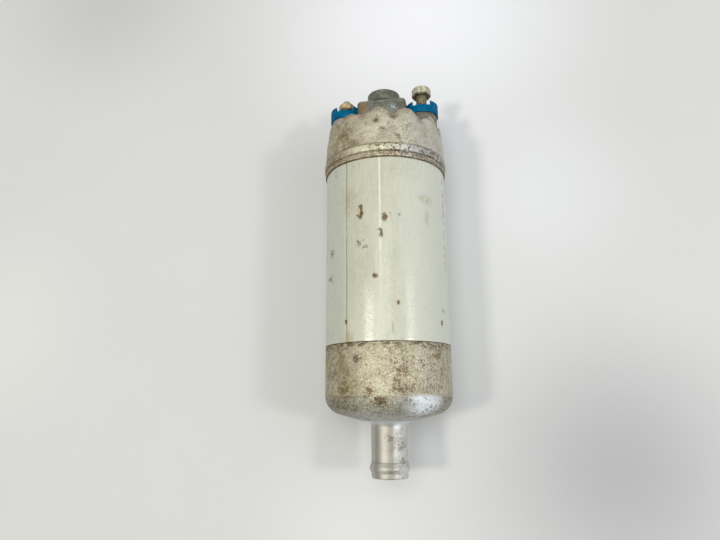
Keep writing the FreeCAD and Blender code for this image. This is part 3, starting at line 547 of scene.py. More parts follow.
def collar_metal():
    """Oxidised aluminium above the bead, grimy all over and stained brown on its left, with a painted
    highlight along the rim's top edge.
    """
    paint = Recipe("collar_metal")
    _, station, _ = paint.split()
    turn = paint.turn()
    grain = paint.noise(2.4, 3.0, 0.65)
    mottle = paint.noise(0.7, 5.0, 0.65)
    paint.ground(paint.grime(0.16, 0.36, 0.66), (182, 175, 152), (211, 206, 184))
    right = paint.rise(turn, 0.25, 0.8)
    paint.wash(right, (208, 206, 201), 0.5)
    paint.wash(paint.grime(0.9, 0.52, 0.66), (150, 136, 106), 0.3)
    paint.wash(paint.rise(grain, 0.48, 0.62), (146, 136, 114), 0.4)
    left = paint.rise(turn, -0.1, -0.7)
    paint.wash(left, (160, 150, 114), 0.2)
    paint.wash(paint.flecks(0.9, 0.58), (110, 94, 62), 0.4)
    paint.wash(paint.scale(paint.flecks(0.7, 0.52), left), (106, 90, 44), 0.45)
    collar_stains(paint, left, mottle)
    collar_folds(paint, turn, station, mottle)
    rusty = collar_rust(paint)
    pits = paint.scale(paint.pitted(1.1, 0.18), paint.grime(0.3, 0.44, 0.54))
    paint.wash(pits, (92, 78, 56), 0.6)
    foot = paint.scale(paint.band(station, BEAD_TOP + 0.2, 0.1, 0.3), paint.grime(0.5, 0.3, 0.6))
    paint.wash(foot, (96, 86, 64), 0.5)
    # Painted highlight: a pale line along the tops of the rim's waves.
    crest_highlight = paint.scale(paint.rise(station, RIM - 0.9, RIM - 0.2), paint.rise(mottle, 0.4, 0.6))
    paint.wash(crest_highlight, (230, 226, 214), 0.4)
    roughness = paint.level(paint.rise(mottle, 0.3, 0.7), 0.48, 0.68)
    paint.bump(paint.noise(0.3, 4.0, 0.55), 0.5)
    paint.bump(paint.noise(1.1, 6.0, 0.7), 0.2)
    paint.bump(grain, 0.05)
    paint.bump(paint.inverse(paint.join(pits, rusty)), 0.06)
    return paint.finish(roughness, 0.4)


def bead_metal():
    """Brighter, pitted aluminium of the bead and the stop ring."""
    paint = Recipe("bead_metal")
    _, station, _ = paint.split()
    turn = paint.turn()
    grain = paint.noise(2.2, 3.0, 0.65)
    paint.ground(paint.grime(0.3, 0.4, 0.62), (192, 185, 152), (226, 222, 198))
    right = paint.rise(turn, 0.05, 0.6)
    paint.wash(right, (208, 213, 214), 0.7)
    left = paint.rise(turn, -0.2, -0.75)
    paint.wash(left, (158, 154, 130), 0.35)
    paint.wash(paint.scale(paint.grime(0.6, 0.42, 0.58), left), (118, 102, 66), 0.55)
    paint.wash(paint.grime(1.1, 0.5, 0.64), (136, 120, 88), 0.35)
    paint.wash(paint.rise(grain, 0.48, 0.66), (130, 120, 96), 0.25)
    dark = paint.rise(turn, -0.45, 0.1)
    ends = paint.scale(paint.rise(paint.math("ABSOLUTE", turn), 0.45, 0.85), paint.flecks(0.7, 0.45))
    paint.wash(ends, (108, 94, 66), 0.6)
    pits = paint.join(
        paint.scale(paint.pitted(0.8, 0.4), paint.scale(dark, paint.grime(0.4, 0.4, 0.48))),
        paint.scale(paint.flecks(0.9, 0.56), dark),
    )
    paint.wash(pits, (70, 62, 48), 0.85)
    low = paint.rise(station, STOP_RING_TOP + 0.3, STOP_RING_TOP - 0.3)
    paint.wash(low, (178, 158, 134), 0.4)
    speckle = paint.flecks(1.3, 0.5)
    paint.wash(paint.scale(low, speckle), (104, 82, 56), 0.6)
    grime = paint.join(
        paint.band(station, STOP_RING_TOP + 0.1, 0.12, 0.3),
        paint.band(station, BEAD_TOP, 0.1, 0.3),
        paint.band(station, LABEL_END, 0.15, 0.3),
    )
    broken = paint.rise(paint.noise(0.6, 5.0, 0.75), 0.3, 0.58)
    paint.wash(paint.scale(grime, broken), (78, 64, 42), 0.7)
    roughness = paint.level(paint.grime(0.4, 0.35, 0.65), 0.36, 0.55)
    paint.bump(paint.noise(1.5, 5.0, 0.6), 0.1)
    paint.bump(paint.inverse(pits), 0.08)
    return paint.finish(roughness, 0.5)


def cap_dirt(paint, station, turn):
    """Brown and black dirt of the cap, where the photograph shows it."""
    left = paint.rise(turn, -0.3, -0.7)
    haze = paint.scale(left, paint.grime(0.35, 0.38, 0.6))
    paint.wash(haze, (118, 108, 74), 0.62)
    olive = paint.join(
        paint.spot(CAP_BLOTCH_LEFT, 3.0, 1.0),
        paint.spot(CAP_OLIVE, 5.0, 1.0, core=0.2),
        paint.spot(CAP_BLOTCH_MIDDLE, 2.8, 1.0, (0.6, 1.2, 0.6)),
    )
    ragged = paint.flecks(0.7, 0.47)
    paint.wash(paint.scale(olive, ragged), (110, 90, 30), 0.85)
    brown = paint.join(
        paint.spot(CAP_BLOTCH_RIGHT, 3.8, 1.0, (0.7, 1.2, 0.7), 0.2),
        paint.spot(CAP_BROWN_EDGE, 5.0, 1.0, (0.8, 1.0, 0.8), 0.2),
        paint.spot(CAP_BROWN_MIDDLE, 6.0, 1.0, core=0.1),
    )
    paint.wash(paint.scale(brown, ragged), (114, 90, 46), 0.75)
    black = paint.clusters(
        (CAP_BLOTCH_LOW, 6.0, 0.52),
        (CAP_BLOTCH_RIGHT, 4.5, 0.5),
        (CAP_SPECKS, 2.8, 0.46),
        (CAP_SPECKS_RIGHT, 5.5, 0.53),
        (CAP_SPECKS_LOW, 4.5, 0.5),
        (CAP_BLOTCH_LEFT, 3.0, 0.52),
        (CAP_BLOTCH_MIDDLE, 3.0, 0.5),
    )
    paint.wash(black, (58, 46, 28), 0.8)
    crust = paint.flecks(0.9, 0.49, (0.5, 1.5, 0.5))
    top = paint.scale(paint.rise(station, -LABEL_END - 3.6, -LABEL_END - 0.5), crust)
    paint.wash(top, (74, 58, 24), 0.9)


def cap_metal():
    """Grey-beige drawn aluminium below the label, grimy, with a painted highlight on the dome's right,
    a pale painted band along its upper side and a pale painted line where the dome begins.
    """
    paint = Recipe("cap_metal")
    _, station, _ = paint.split()
    turn = paint.turn()
    grain = paint.noise(1.4, 4.0, 0.8)
    mottle = paint.noise(0.8, 6.0, 0.7)
    paint.ground(paint.grime(0.13, 0.38, 0.62), (163, 156, 126), (197, 190, 165))
    yellow = paint.band(turn, -0.3, 0.1, 0.3)
    paint.wash(yellow, (196, 186, 144), 0.12)
    right = paint.rise(turn, 0.2, 0.9)
    paint.wash(right, (206, 198, 186), 0.6)
    dome = paint.rise(station, DOME_CORNER + 6.8, DOME_CORNER + 4.4)
    paint.wash(dome, (146, 148, 143), 0.75)
    paint.wash(paint.grime(0.5, 0.48, 0.66), (140, 124, 88), 0.3)
    paint.wash(paint.rise(grain, 0.47, 0.56), (124, 110, 78), 0.42)
    paint.wash(paint.flecks(0.8, 0.56), (78, 64, 36), 0.7)
    pale = paint.rise(paint.noise(1.2, 5.0, 0.8), 0.54, 0.6)
    paint.wash(pale, (236, 231, 206), 0.5)
    # Painted highlight: a faint pale band along the cap's upper side.
    middle = paint.scale(paint.band(turn, -0.12, 0.12, 0.3), paint.grime(0.25, 0.36, 0.56))
    paint.wash(middle, (226, 222, 194), 0.18)
    streak = paint.noise(1.0, 3.0, 0.7, 0.0, (1.6, 0.12, 1.6))
    far = paint.scale(paint.rise(turn, 0.62, 0.8), paint.rise(streak, 0.5, 0.6))
    paint.wash(far, (112, 100, 78), 0.45)
    cap_dirt(paint, station, turn)
    # Painted highlight: bluish white on the dome's right, where the dome is also smoother and more
    # metallic, and fainter towards its foot.
    dome_highlight = paint.scale(dome, paint.spot(DOME_HIGHLIGHT, 12.0, 0.25, core=0.1))
    foot = paint.rise(station, DOME_CORNER + 0.5, TAIL_ROOT + 1.0)
    paint.wash(paint.join(dome_highlight, paint.scale(foot, 0.35)), (242, 247, 250))
    flecks = paint.join(paint.flecks(0.7, 0.54), paint.specks(DOME_FLECKS, 4.0, 0.52))
    flecks = paint.scale(dome, flecks)
    paint.wash(flecks, (76, 66, 44), 0.7)
    # Painted highlight: a broken pale line where the dome meets the cylinder, on its upper side only.
    line = paint.scale(paint.band(station, DOME_CORNER + 6.2, 0.1, 0.3), paint.rise(mottle, 0.5, 0.64))
    line = paint.scale(line, paint.band(turn, -0.05, 0.2, 0.3))
    paint.wash(line, (232, 226, 196), 0.6)
    roughness = paint.level(dome_highlight, 0.56, 0.3)
    roughness = paint.math("ADD", roughness, paint.scale(paint.rise(mottle, 0.4, 0.7), 0.1))
    paint.bump(paint.noise(0.6, 5.0, 0.55), 0.08)
    paint.bump(grain, 0.03)
    turning = paint.noise(1.0, 3.0, 0.6, 0.0, (0.12, 5.0, 0.12))
    paint.bump(turning, 0.02)
    metallic = paint.level(dome_highlight, 0.3, 0.5)
    return paint.finish(roughness, metallic)


def tail_metal():
    """Turned hose tail, grey with brown spots, with painted reflection bands and a painted highlight
    where it joins the dome.
    """
    paint = Recipe("tail_metal")
    _, station, _ = paint.split()
    turn = paint.turn()
    turning = paint.noise(1.0, 4.0, 0.65, 0.0, (0.15, 9.0, 0.15))
    paint.ground(paint.rise(turning, 0.3, 0.7), (163, 161, 151), (187, 185, 177))
    # Painted reflections: dark and pale bands along the tail by its turn about the axis, and its right
    # side painted lighter.
    dark = paint.join(paint.band(turn, 0.14, 0.08, 0.16), paint.band(turn, -0.66, 0.06, 0.2))
    paint.wash(dark, (134, 127, 112), 0.55)
    light = paint.band(turn, -0.28, 0.02, 0.16)
    paint.wash(light, (226, 222, 198), 0.25)
    second = paint.band(turn, 0.42, 0.03, 0.2)
    paint.wash(second, (222, 222, 216), 0.2)
    far = paint.rise(turn, 0.4, 0.7)
    paint.wash(far, (220, 222, 222), 0.6)
    marks = paint.scale(paint.band(turn, -0.2, 0.4, 0.3), paint.band(station, MARKED_STATION, 4.0, 3.0))
    marks = paint.scale(marks, paint.rise(turning, 0.52, 0.62))
    paint.wash(marks, (118, 108, 86), 0.4)
    rusted = paint.clusters(
        (TAIL_RUST, 3.6, 0.5),
        (TAIL_RUST_HIGH, 3.0, 0.51),
        (TAIL_RUST_LOW, 2.4, 0.49),
        (TAIL_RUST_LIP, 1.8, 0.5),
    )
    paint.wash(rusted, (84, 64, 38), 0.75)
    blotch = paint.scale(paint.flecks(1.0, 0.53), paint.rise(turn, -0.2, 0.5))
    paint.wash(blotch, (120, 104, 78), 0.4)
    ring = paint.band(station, BARB_TOP, 0.15, 0.3)
    paint.wash(ring, (110, 104, 90), 0.35)
    # Painted highlight: bluish white where the tail joins the dome, and a glint on its right.
    root_highlight = paint.rise(station, TAIL_ROOT - 1.0, TAIL_ROOT + 0.8)
    glint = paint.spot(TAIL_GLINT, 2.4, 0.6, core=0.1)
    paint.wash(paint.join(root_highlight, glint), (228, 236, 241), 0.8)
    roughness = paint.level(paint.rise(turning, 0.3, 0.7), 0.54, 0.44)
    roughness = paint.math("ADD", roughness, paint.scale(blotch, 0.2))
    paint.bump(turning, 0.012)
    paint.bump(paint.noise(0.5, 3.0, 0.5), 0.05)
    return paint.finish(roughness, 0.4)


def label_chips(paint):
    """Where the sleeve is chipped through."""
    return paint.join(
        paint.crescent(CHIP_LARGE, CHIP_LARGE_HOLLOW, 3.1, (1.9, 0.85, 1.9)),
        paint.chip(CHIP_MIDDLE, 1.7, (1.2, 0.85, 1.2)),
        paint.crescent(CHIP_SMALL, CHIP_SMALL_HOLLOW, 2.0, (1.7, 0.9, 1.7)),
        paint.chip(CHIP_BELOW, 1.2),
        paint.chip(CHIP_BOTTOM, 0.9, (1.6, 0.8, 1.6)),
        paint.chip(SEAM_RUST, 1.0, (1.2, 0.9, 1.2)),
        paint.chip(EDGE_CHIP, 1.1, (1.4, 0.8, 1.4)),
        paint.clusters(
            (CHIP_RIGHT, 1.3),
            (CHIP_FAR, 1.5),
            (CHIP_LOW, 2.6, 0.54),
            (CHIP_LOWER, 2.2, 0.54),
            (CHIP_LEFT, 2.6, 0.51),
            (CHIP_LEFT_LOWER, 3.0, 0.51),
            (CHIP_LEFT_TOP, 2.0, 0.54),
            (EDGE_CHIP_HIGH, 2.4),
        ),
    )


def label_rust(paint):
    """Rust bleeding round the chips."""
    return paint.join(
        paint.spot(CHIP_LARGE, 2.9, 0.8, (1.7, 0.75, 1.7)),
        paint.spot(CHIP_MIDDLE, 1.8, 0.8),
        paint.spot(CHIP_BELOW, 1.5, 0.8),
        paint.spot(CHIP_BOTTOM, 1.3, 0.8),
    )


def label_smears(paint):
    """Faint drips and smears."""
    marks = paint.join(
        paint.spot(SEAM_STAIN, 2.4, 0.9, (1.2, 0.5, 1.2)),
        paint.spot(DRIP_HIGH, 4.2, 1.0, (0.7, 1.1, 0.7), 0.2),
        paint.spot(DRIP_LOW, 2.2, 0.9, (1.3, 0.5, 1.3)),
        paint.spot(DRIP_TOP, 1.0, 0.7, (1.6, 0.6, 1.6)),
        paint.spot(SMEAR_LEFT, 5.0, 1.0, (0.8, 0.5, 0.8), 0.1),
        paint.scale(paint.spot(SMEAR_TOP, 7.0, 1.0, (0.5, 1.0, 0.5), 0.0), 0.5),
    )
    fibre = paint.noise(1.3, 5.0, 0.75, 0.0, (1.0, 0.35, 1.0))
    return paint.scale(marks, paint.rise(fibre, 0.36, 0.6))


def label_wear(paint, station):
    """Grey smudges, hairlines along the pump and faint ones across its lower half."""
    smudge = paint.noise(0.22, 6.0, 0.72, 0.4, (1.0, 0.6, 1.0))
    paint.wash(paint.rise(smudge, 0.48, 0.66), (176, 178, 160), 0.42)
    along = paint.noise(1.5, 4.0, 0.75, 0.0, (1.0, 0.07, 1.0))
    paint.wash(paint.rise(along, 0.5, 0.62), (228, 230, 216), 0.2)
    across = paint.noise(1.4, 4.0, 0.75, 0.3, (0.22, 1.2, 0.22))
    across = paint.scale(paint.rise(across, 0.5, 0.64), paint.rise(station, 2.0, -14.0))
    paint.wash(across, (170, 173, 152), 0.32)


def label_painted_highlights(paint, turn, station):
    """Two painted highlights standing in for the lamps' reflections, broken by the sleeve's grain, with
    a painted sheen round the left one.
    """
    highlight_breakup = paint.rise(paint.noise(1.5, 3.0, 0.8), 0.36, 0.56)
    left_turn = bearing(seen_at(PAINTED_HIGHLIGHT_LEFT))
    low = paint.rise(station, -10.0, -30.0)
    # Painted sheen: a broad pale band round the left highlight, low on the sleeve.
    glow = paint.scale(paint.band(turn, left_turn - 0.06, 0.12, 0.28), low)
    paint.wash(glow, (222, 222, 198), 0.4)
    # Painted highlights: narrow pale bands where the lamps would reflect.
    left = paint.scale(paint.band(turn, left_turn, 0.03, 0.075), low)
    right = paint.band(turn, bearing(seen_at(PAINTED_HIGHLIGHT_RIGHT)), 0.01, 0.1)
    right = paint.scale(right, 0.5, paint.rise(station, -4.0, -24.0))
    paint.wash(paint.scale(paint.join(left, right), highlight_breakup), (240, 241, 222))


def label_seam(paint, turn):
    """The lap's broken dark line, and the cooler sleeve beyond it."""
    seam_turn = bearing(seen_at(SEAM))
    beyond = paint.rise(turn, seam_turn + 0.012, seam_turn - 0.012)
    paint.wash(beyond, (190, 196, 183), 0.5)
    wander = paint.math("MULTIPLY_ADD", paint.noise(0.5, 3.0, 0.6), 0.014, -0.007)
    line = paint.band(paint.math("ADD", turn, wander), seam_turn, 0.003, 0.008)
    broken = paint.rise(paint.noise(0.4, 4.0, 0.7), 0.3, 0.5)
    line = paint.scale(line, broken)
    paint.wash(line, (96, 86, 54), 0.8)
    return line


def label_crease(paint, turn, station, smear):
    """A ridge along the upper half, painted as a highlight, with painted shade on its right."""
    crease_turn = bearing(seen_at(CREASE))
    # Painted highlight along the crease; the same mask raises it as a bump.
    crease = paint.band(turn, crease_turn, 0.005, 0.016)
    crease = paint.scale(crease, paint.rise(station, -34.0, 22.0))
    crease = paint.scale(crease, paint.rise(smear, 0.25, 0.5))
    paint.wash(crease, (240, 240, 226), 0.8)
    # Painted shade on the crease's right.
    shade = paint.band(turn, crease_turn + 0.045, 0.008, 0.03)
    shade = paint.scale(shade, paint.rise(station, -10.0, 25.0))
    paint.wash(shade, (176, 178, 158), 0.25)
    return crease


def label_hem(paint, turn, station):
    """Dark specks in a line near the right edge."""
    hem = paint.band(turn, bearing(seen_at(HEM)), 0.016, 0.03)
    hem = paint.scale(hem, paint.rise(paint.noise(0.35, 5.0, 0.75), 0.46, 0.56))
    hem = paint.scale(hem, paint.rise(station, -16.0, 0.0))
    paint.wash(hem, (112, 100, 72), 0.75)


def label_ends(paint, station):
    """Dirt along the sleeve's two ends."""
    ends = paint.join(
        paint.band(station, LABEL_END, 0.12, 0.3),
        paint.band(station, -LABEL_END, 0.08, 0.25),
    )
    worn = paint.rise(paint.noise(0.7, 4.0, 0.7), 0.3, 0.6)
    paint.wash(paint.scale(ends, worn), (104, 80, 44), 0.85)
    foot = paint.rise(station, -LABEL_END + 0.35, -LABEL_END + 0.1)
    paint.wash(foot, (74, 58, 34), 0.8)


def label_vinyl():
    """Aged white sleeve: seam, crease with a painted highlight and painted shade, chips rusted through,
    drips, dirty ends and two painted highlights.
    """
    paint = Recipe("label_vinyl")
    _, station, _ = paint.split()
    turn = paint.turn()
    fine = paint.noise(0.9, 5.0, 0.6)
    paint.ground(paint.noise(0.09, 4.0, 0.6, 0.3), (193, 194, 171), (201, 201, 179))
    paint.wash(paint.rise(fine, 0.5, 0.75), (180, 180, 156), 0.3)
    grain = paint.noise(3.2, 3.0, 0.7)
    paint.wash(paint.rise(grain, 0.45, 0.7), (150, 150, 124), 0.16)
    smear = paint.noise(0.5, 5.0, 0.7, 0.0, (1.0, 0.25, 1.0))
    paint.wash(paint.rise(smear, 0.54, 0.72), (172, 174, 150), 0.3)
    label_wear(paint, station)
    cool = paint.rise(turn, 0.0, 0.75)
    paint.wash(cool, (209, 211, 199), 0.75)
    line = label_seam(paint, turn)
    crease = label_crease(paint, turn, station, smear)
    label_hem(paint, turn, station)
    paint.wash(label_smears(paint), (156, 142, 92), 0.5)
    paint.wash(label_rust(paint), (188, 154, 72), 0.5)
    yellow = paint.join(
        paint.scale(paint.spot(SEAM_STAIN, 3.4, 0.8, (1.0, 0.8, 1.0), 0.0), 0.8),
        paint.spot(SEAM_FOOT, 1.8, 0.8, (0.8, 1.0, 0.8), 0.2),
    )
    paint.wash(yellow, (166, 148, 62), 0.7)
    label_painted_highlights(paint, turn, station)
    chips = label_chips(paint)
    brown = paint.mix(paint.rise(paint.noise(2.0, 3.0, 0.6), 0.48, 0.62), (58, 42, 0), (134, 102, 0))
    paint.wash(chips, brown, 0.92)
    scratch = paint.spot(SCRATCH, 1.1, 0.3, (2.0, 0.35, 2.0))
    paint.wash(scratch, (140, 138, 116), 0.5)
    label_ends(paint, station)
    roughness = paint.level(paint.rise(fine, 0.35, 0.7), 0.5, 0.62)
    roughness = paint.math("ADD", roughness, paint.scale(chips, 0.35))
    ripple = paint.noise(0.18, 3.0, 0.5, 0.0, (1.0, 0.35, 1.0))
    paint.bump(ripple, 0.25)
    paint.bump(paint.noise(2.0, 2.0, 0.5), 0.03)
    paint.bump(paint.inverse(paint.join(chips, line)), 0.12)
    paint.bump(crease, 0.12)
    return paint.finish(roughness, 0.0, 0.6, 0.22)


def cast_metal():
    """Rough grey die casting, paler on its two bosses, with a painted shade line above the block and a
    faint painted highlight on its top edge.
    """
    paint = Recipe("cast_metal")
    x, station, _ = paint.split()
    grain = paint.noise(2.2, 4.0, 0.7)
    paint.ground(paint.grime(0.35, 0.38, 0.62), (92, 93, 82), (122, 123, 111))
    paint.wash(paint.rise(grain, 0.48, 0.66), (72, 73, 63), 0.5)
    light = paint.rise(paint.cells(1.3), 0.2, 0.08)
    paint.wash(light, (182, 182, 170), 0.4)
    boss = paint.rise(paint.math("ABSOLUTE", x), BOSS_FROM, BOSS_FROM + 1.0)
    paint.wash(boss, (186, 183, 170), 0.75)
    spots = paint.scale(boss, paint.rise(paint.noise(1.3, 4.0, 0.7), 0.54, 0.62))
    paint.wash(spots, (88, 82, 66), 0.6)
    soiled = paint.scale(paint.rise(x, BOSS_FROM, BOSS_FROM + 1.0), paint.flecks(0.6, 0.42))
    paint.wash(soiled, (92, 80, 58), 0.75)
    # Painted shade: a dark line on the neck just above the block, where the block's top edge meets it.
    step = paint.band(station, BLOCK_TOP + 1.2, 0.8, 0.5)
    paint.wash(step, (52, 52, 42), 0.8)
    # Painted highlight: a faint pale line along the block's top edge.
    edge = paint.band(station, BLOCK_TOP - 0.8, 0.1, 0.4)
    paint.wash(edge, (176, 176, 164), 0.12)
    rust = paint.spot(CASTING_RUST, 3.4, 0.3, (1.1, 0.7, 0.3), 0.3, block_radius)
    rust = paint.scale(rust, paint.flecks(0.7, 0.42))
    low = paint.scale(paint.grime(0.5, 0.62, 0.72), paint.rise(station, BLOCK_TOP, BLOCK_TOP - 8.0))
    paint.wash(paint.join(rust, low), (136, 104, 50), 0.75)
    scuff = paint.spot(CASTING_SCUFF, 3.0, 1.0, core=0.1, outline=block_radius)
    scuff = paint.scale(scuff, paint.flecks(0.9, 0.46))
    paint.wash(scuff, (196, 204, 208), 0.7)
    roughness = paint.level(paint.rise(grain, 0.35, 0.7), 0.5, 0.72)
    paint.bump(grain, 0.14)
    paint.bump(paint.noise(0.7, 4.0, 0.6), 0.15)
    return paint.finish(roughness, 0.35)


def blue_nylon():
    """Moulded blue plastic, faintly mottled and scuffed."""
    paint = Recipe("blue_nylon")
    cloud = paint.noise(0.4, 4.0, 0.6)
    scuff = paint.noise(2.4, 5.0, 0.7, 0.0, (1.0, 0.3, 1.0))
    paint.ground(paint.rise(cloud, 0.35, 0.65), (0, 86, 122), (0, 104, 144))
    paint.wash(paint.rise(scuff, 0.6, 0.75), (30, 112, 146), 0.3)
    dirt = paint.rise(paint.noise(0.9, 5.0, 0.7), 0.6, 0.75)
    paint.wash(dirt, (16, 64, 92), 0.45)
    roughness = paint.level(paint.rise(scuff, 0.35, 0.7), 0.45, 0.6)
    paint.bump(paint.noise(1.6, 4.0, 0.6), 0.03)
    paint.shader.inputs["Specular IOR Level"].default_value = 0.06
    return paint.finish(roughness, 0.0)


def worn_metal(name, low, high, dirt, rough=(0.3, 0.5), metallic=0.9, scale=0.8, depth=0.03):
    """Metal mottled between two tones, with dirt in its hollows."""
    paint = Recipe(name)
    cloud = paint.noise(scale, 5.0, 0.65, 0.3)
    grain = paint.noise(scale * 5, 4.0, 0.6)
    paint.ground(paint.rise(cloud, 0.35, 0.65), low, high)
    paint.wash(paint.rise(grain, 0.56, 0.74), dirt, 0.55)
    roughness = paint.level(paint.rise(grain, 0.3, 0.7), rough[0], rough[1])
    paint.bump(grain, depth)
    return paint.finish(roughness, metallic)


def nut_metal(name, low, high, dirt, foot):
    """Plated nut, streaked along its sides, with painted shade underneath."""
    paint = Recipe(name)
    _, station, _ = paint.split()
    streaks = paint.noise(1.1, 4.0, 0.65, 0.2, (1.0, 0.3, 1.0))
    paint.ground(paint.rise(streaks, 0.4, 0.6), low, high)
    paint.wash(paint.flecks(1.0, 0.55), dirt, 0.5)
    # Painted shade: the underside darkened with the dirt tone.
    under = paint.rise(paint.math("ADD", station, streaks), foot + 1.8, foot + 0.9)
    paint.wash(under, dirt, 0.85)
    roughness = paint.level(paint.rise(streaks, 0.3, 0.7), 0.4, 0.56)
    paint.bump(streaks, 0.05)
    return paint.finish(roughness, 0.5)


def turned_metal(name, low, high, rough=(0.2, 0.35)):
    """Ground or turned metal, with marks round the pump's axis."""
    paint = Recipe(name)
    marks = paint.noise(1.0, 4.0, 0.6, 0.0, (0.3, 6.0, 0.3))
    cloud = paint.noise(0.3, 4.0, 0.6)
    paint.ground(paint.rise(cloud, 0.35, 0.65), low, high)
    roughness = paint.level(paint.rise(marks, 0.3, 0.7), rough[0], rough[1])
    paint.bump(marks, 0.02)
    return paint.finish(roughness, 0.95)


def dull(name, low, high, rough, scale=1.2, depth=0.05):
    """Rubber, fibre, carbon, ferrite and moulding."""
    paint = Recipe(name)
    cloud = paint.noise(scale * 0.4, 4.0, 0.6)
    grain = paint.noise(scale * 3, 5.0, 0.7)
    paint.ground(paint.rise(cloud, 0.35, 0.65), low, high)
    paint.wash(paint.rise(grain, 0.55, 0.75), low, 0.4)
    roughness = paint.level(paint.rise(grain, 0.3, 0.7), rough[0], rough[1])
    paint.bump(grain, depth)
    return paint.finish(roughness, 0.0)


def make_finishes():
    """A material for each of the record's slots."""
    return {
        "can_aluminium": cap_metal(),
        "label_white": label_vinyl(),
        "cover_casting": cast_metal(),
        "blue_plastic": blue_nylon(),
        "zinc_plated_steel": worn_metal(
            "zinc_plate", (178, 172, 146), (214, 209, 186), (120, 106, 78), (0.4, 0.55), 0.5),
        "yellow_brass": worn_metal(
            "aged_brass", (150, 138, 102), (196, 176, 134), (92, 84, 58), (0.4, 0.6), 0.5, 0.7),
        "seal_rubber": dull("seal_rubber_black", (22, 22, 22), (40, 40, 38), (0.55, 0.75)),
        "fibre_washer": dull("fibre_red_brown", (112, 60, 44), (140, 84, 60), (0.6, 0.8)),
        "ground_steel": turned_metal("ground_steel_bright", (168, 170, 172), (200, 202, 204)),
        "spring_steel": turned_metal("spring_steel_grey", (140, 142, 146), (184, 186, 190)),
        "lamination_steel": turned_metal(
            "lamination_grey", (104, 104, 106), (140, 140, 142), (0.35, 0.5)),
        "copper": worn_metal(
            "copper_enamel", (170, 92, 56), (208, 126, 84), (104, 48, 26), (0.25, 0.4)),
        "ferrite": dull("ferrite_black", (44, 44, 48), (66, 66, 70), (0.5, 0.7)),
        "carbon": dull("brush_carbon", (34, 34, 36), (58, 58, 60), (0.4, 0.6)),
        "sintered_bronze": worn_metal(
            "sintered_bronze_oiled", (150, 116, 64), (184, 148, 92), (88, 62, 30), (0.4, 0.6)),
        "brown_moulding": dull("brown_bakelite", (72, 44, 28), (96, 62, 42), (0.35, 0.5)),
        "valve_brass": turned_metal("valve_brass_turned", (196, 168, 92), (222, 196, 120)),
    }


# Meshes

def rounded(corners, arc_steps):
    """Corners of (radius, station, rounding) as a line with its corners turned into arcs."""
    line = []
    for index, (across, along, size) in enumerate(corners):
        here = Vector((across, along))
        if size == 0 or index in (0, len(corners) - 1):
            line.append(here)
            continue
        back = (Vector(corners[index - 1][:2]) - here)
        ahead = (Vector(corners[index + 1][:2]) - here)
        angle = back.angle(ahead)
        reach = min(size / math.tan(angle / 2), back.length * 0.98, ahead.length * 0.98)
        start = here + back.normalized() * reach
        end = here + ahead.normalized() * reach
        inward = (back.normalized() + ahead.normalized()).normalized()
        centre = here + inward * math.hypot(reach, reach * math.tan(angle / 2))
        first = start - centre
        sweep = first.angle_signed(end - centre)
        for step in range(arc_steps + 1):
            line.append(centre + Matrix.Rotation(-sweep * step / arc_steps, 2) @ first)
    return line


def divided(line, longest):
    """The line with its long runs cut into shorter ones."""
    fine = [line[0]]
    for start, end in zip(line, line[1:]):
        pieces = max(1, math.ceil((end - start).length / longest))
        for piece in range(1, pieces + 1):
            fine.append(start.lerp(end, piece / pieces))
    return fine


def join_rows(made, rows):
    """Quads between each ring of points and the next."""
    for lower, upper in zip(rows, rows[1:]):
        for part in range(len(lower)):
            after = (part + 1) % len(lower)
            made.faces.new((lower[part], lower[after], upper[after], upper[part]))


def skin(name, rings, centre=0.0, closed=False, capped=False, sharp=40.0):
    """A piece over rings of (station, radius) points, round an axis at X = centre."""
    made = bmesh.new()
    rows = []
    for ring in rings:
        row = []
        for part, (station, size) in enumerate(ring):
            turn = math.tau * part / len(ring)
            place = Vector((centre + size * math.sin(turn), station, size * math.cos(turn)))
            row.append(made.verts.new(place * MM))
        rows.append(row)
    if closed:
        rows.append(rows[0])
    join_rows(made, rows)
    if capped:
        made.faces.new(rows[-1])
    return into_object(name, made, sharp)


def lathe(name, line, around, shape):
    """Turn a line of (radius, station) about the pump's axis; shape moves each point."""
    rings = []
    for across, along in line:
        ring = []
        for step in range(around):
            radius, station = shape(across, along, math.tau * step / around)
            ring.append((station, radius))
        rings.append(ring)
    return skin(name, rings)


def into_object(name, made, sharp=40.0):
    """Finish a mesh: outward faces, smooth with its sharp edges kept."""
    bmesh.ops.recalc_face_normals(made, faces=made.faces)
    limit = math.radians(sharp)
    for face in made.faces:
        face.smooth = True
    for edge in made.edges:
        if len(edge.link_faces) == 2 and edge.calc_face_angle(0.0) > limit:
            edge.smooth = False
    mesh = bpy.data.meshes.new(name)
    made.to_mesh(mesh)
    made.free()
    piece = bpy.data.objects.new(name, mesh)
    bpy.context.scene.collection.objects.link(piece)
    return piece


def wave(turn):
    """How far the rim dips below its crests, in mm: sharp and flat valleys by turns."""
    uneven = 1.0 + WAVE_UNEVEN * noise.noise(Vector((math.sin(turn) * 1.7, math.cos(turn) * 1.7, 3.1)))
    swing = (1 - math.cos(WAVES * (turn + WAVE_LEAD))) / 2
    sharpness = VALLEY_SHARPNESS + SHARPNESS_SWING * math.sin(WAVES / 2 * turn)
    near = math.remainder(turn, math.tau)
    shallow = 1 - SHALLOW_SHARE * math.exp(-((near - SHALLOW_VALLEY) / SHALLOW_WIDTH) ** 2)
    low_crest = LOW_CREST_DROP * math.exp(-((near - LOW_CREST) / LOW_CREST_WIDTH) ** 2)
    return min(WAVE_DEPTH * uneven, WAVE_DEPTH + 0.2) * shallow * swing ** sharpness + low_crest


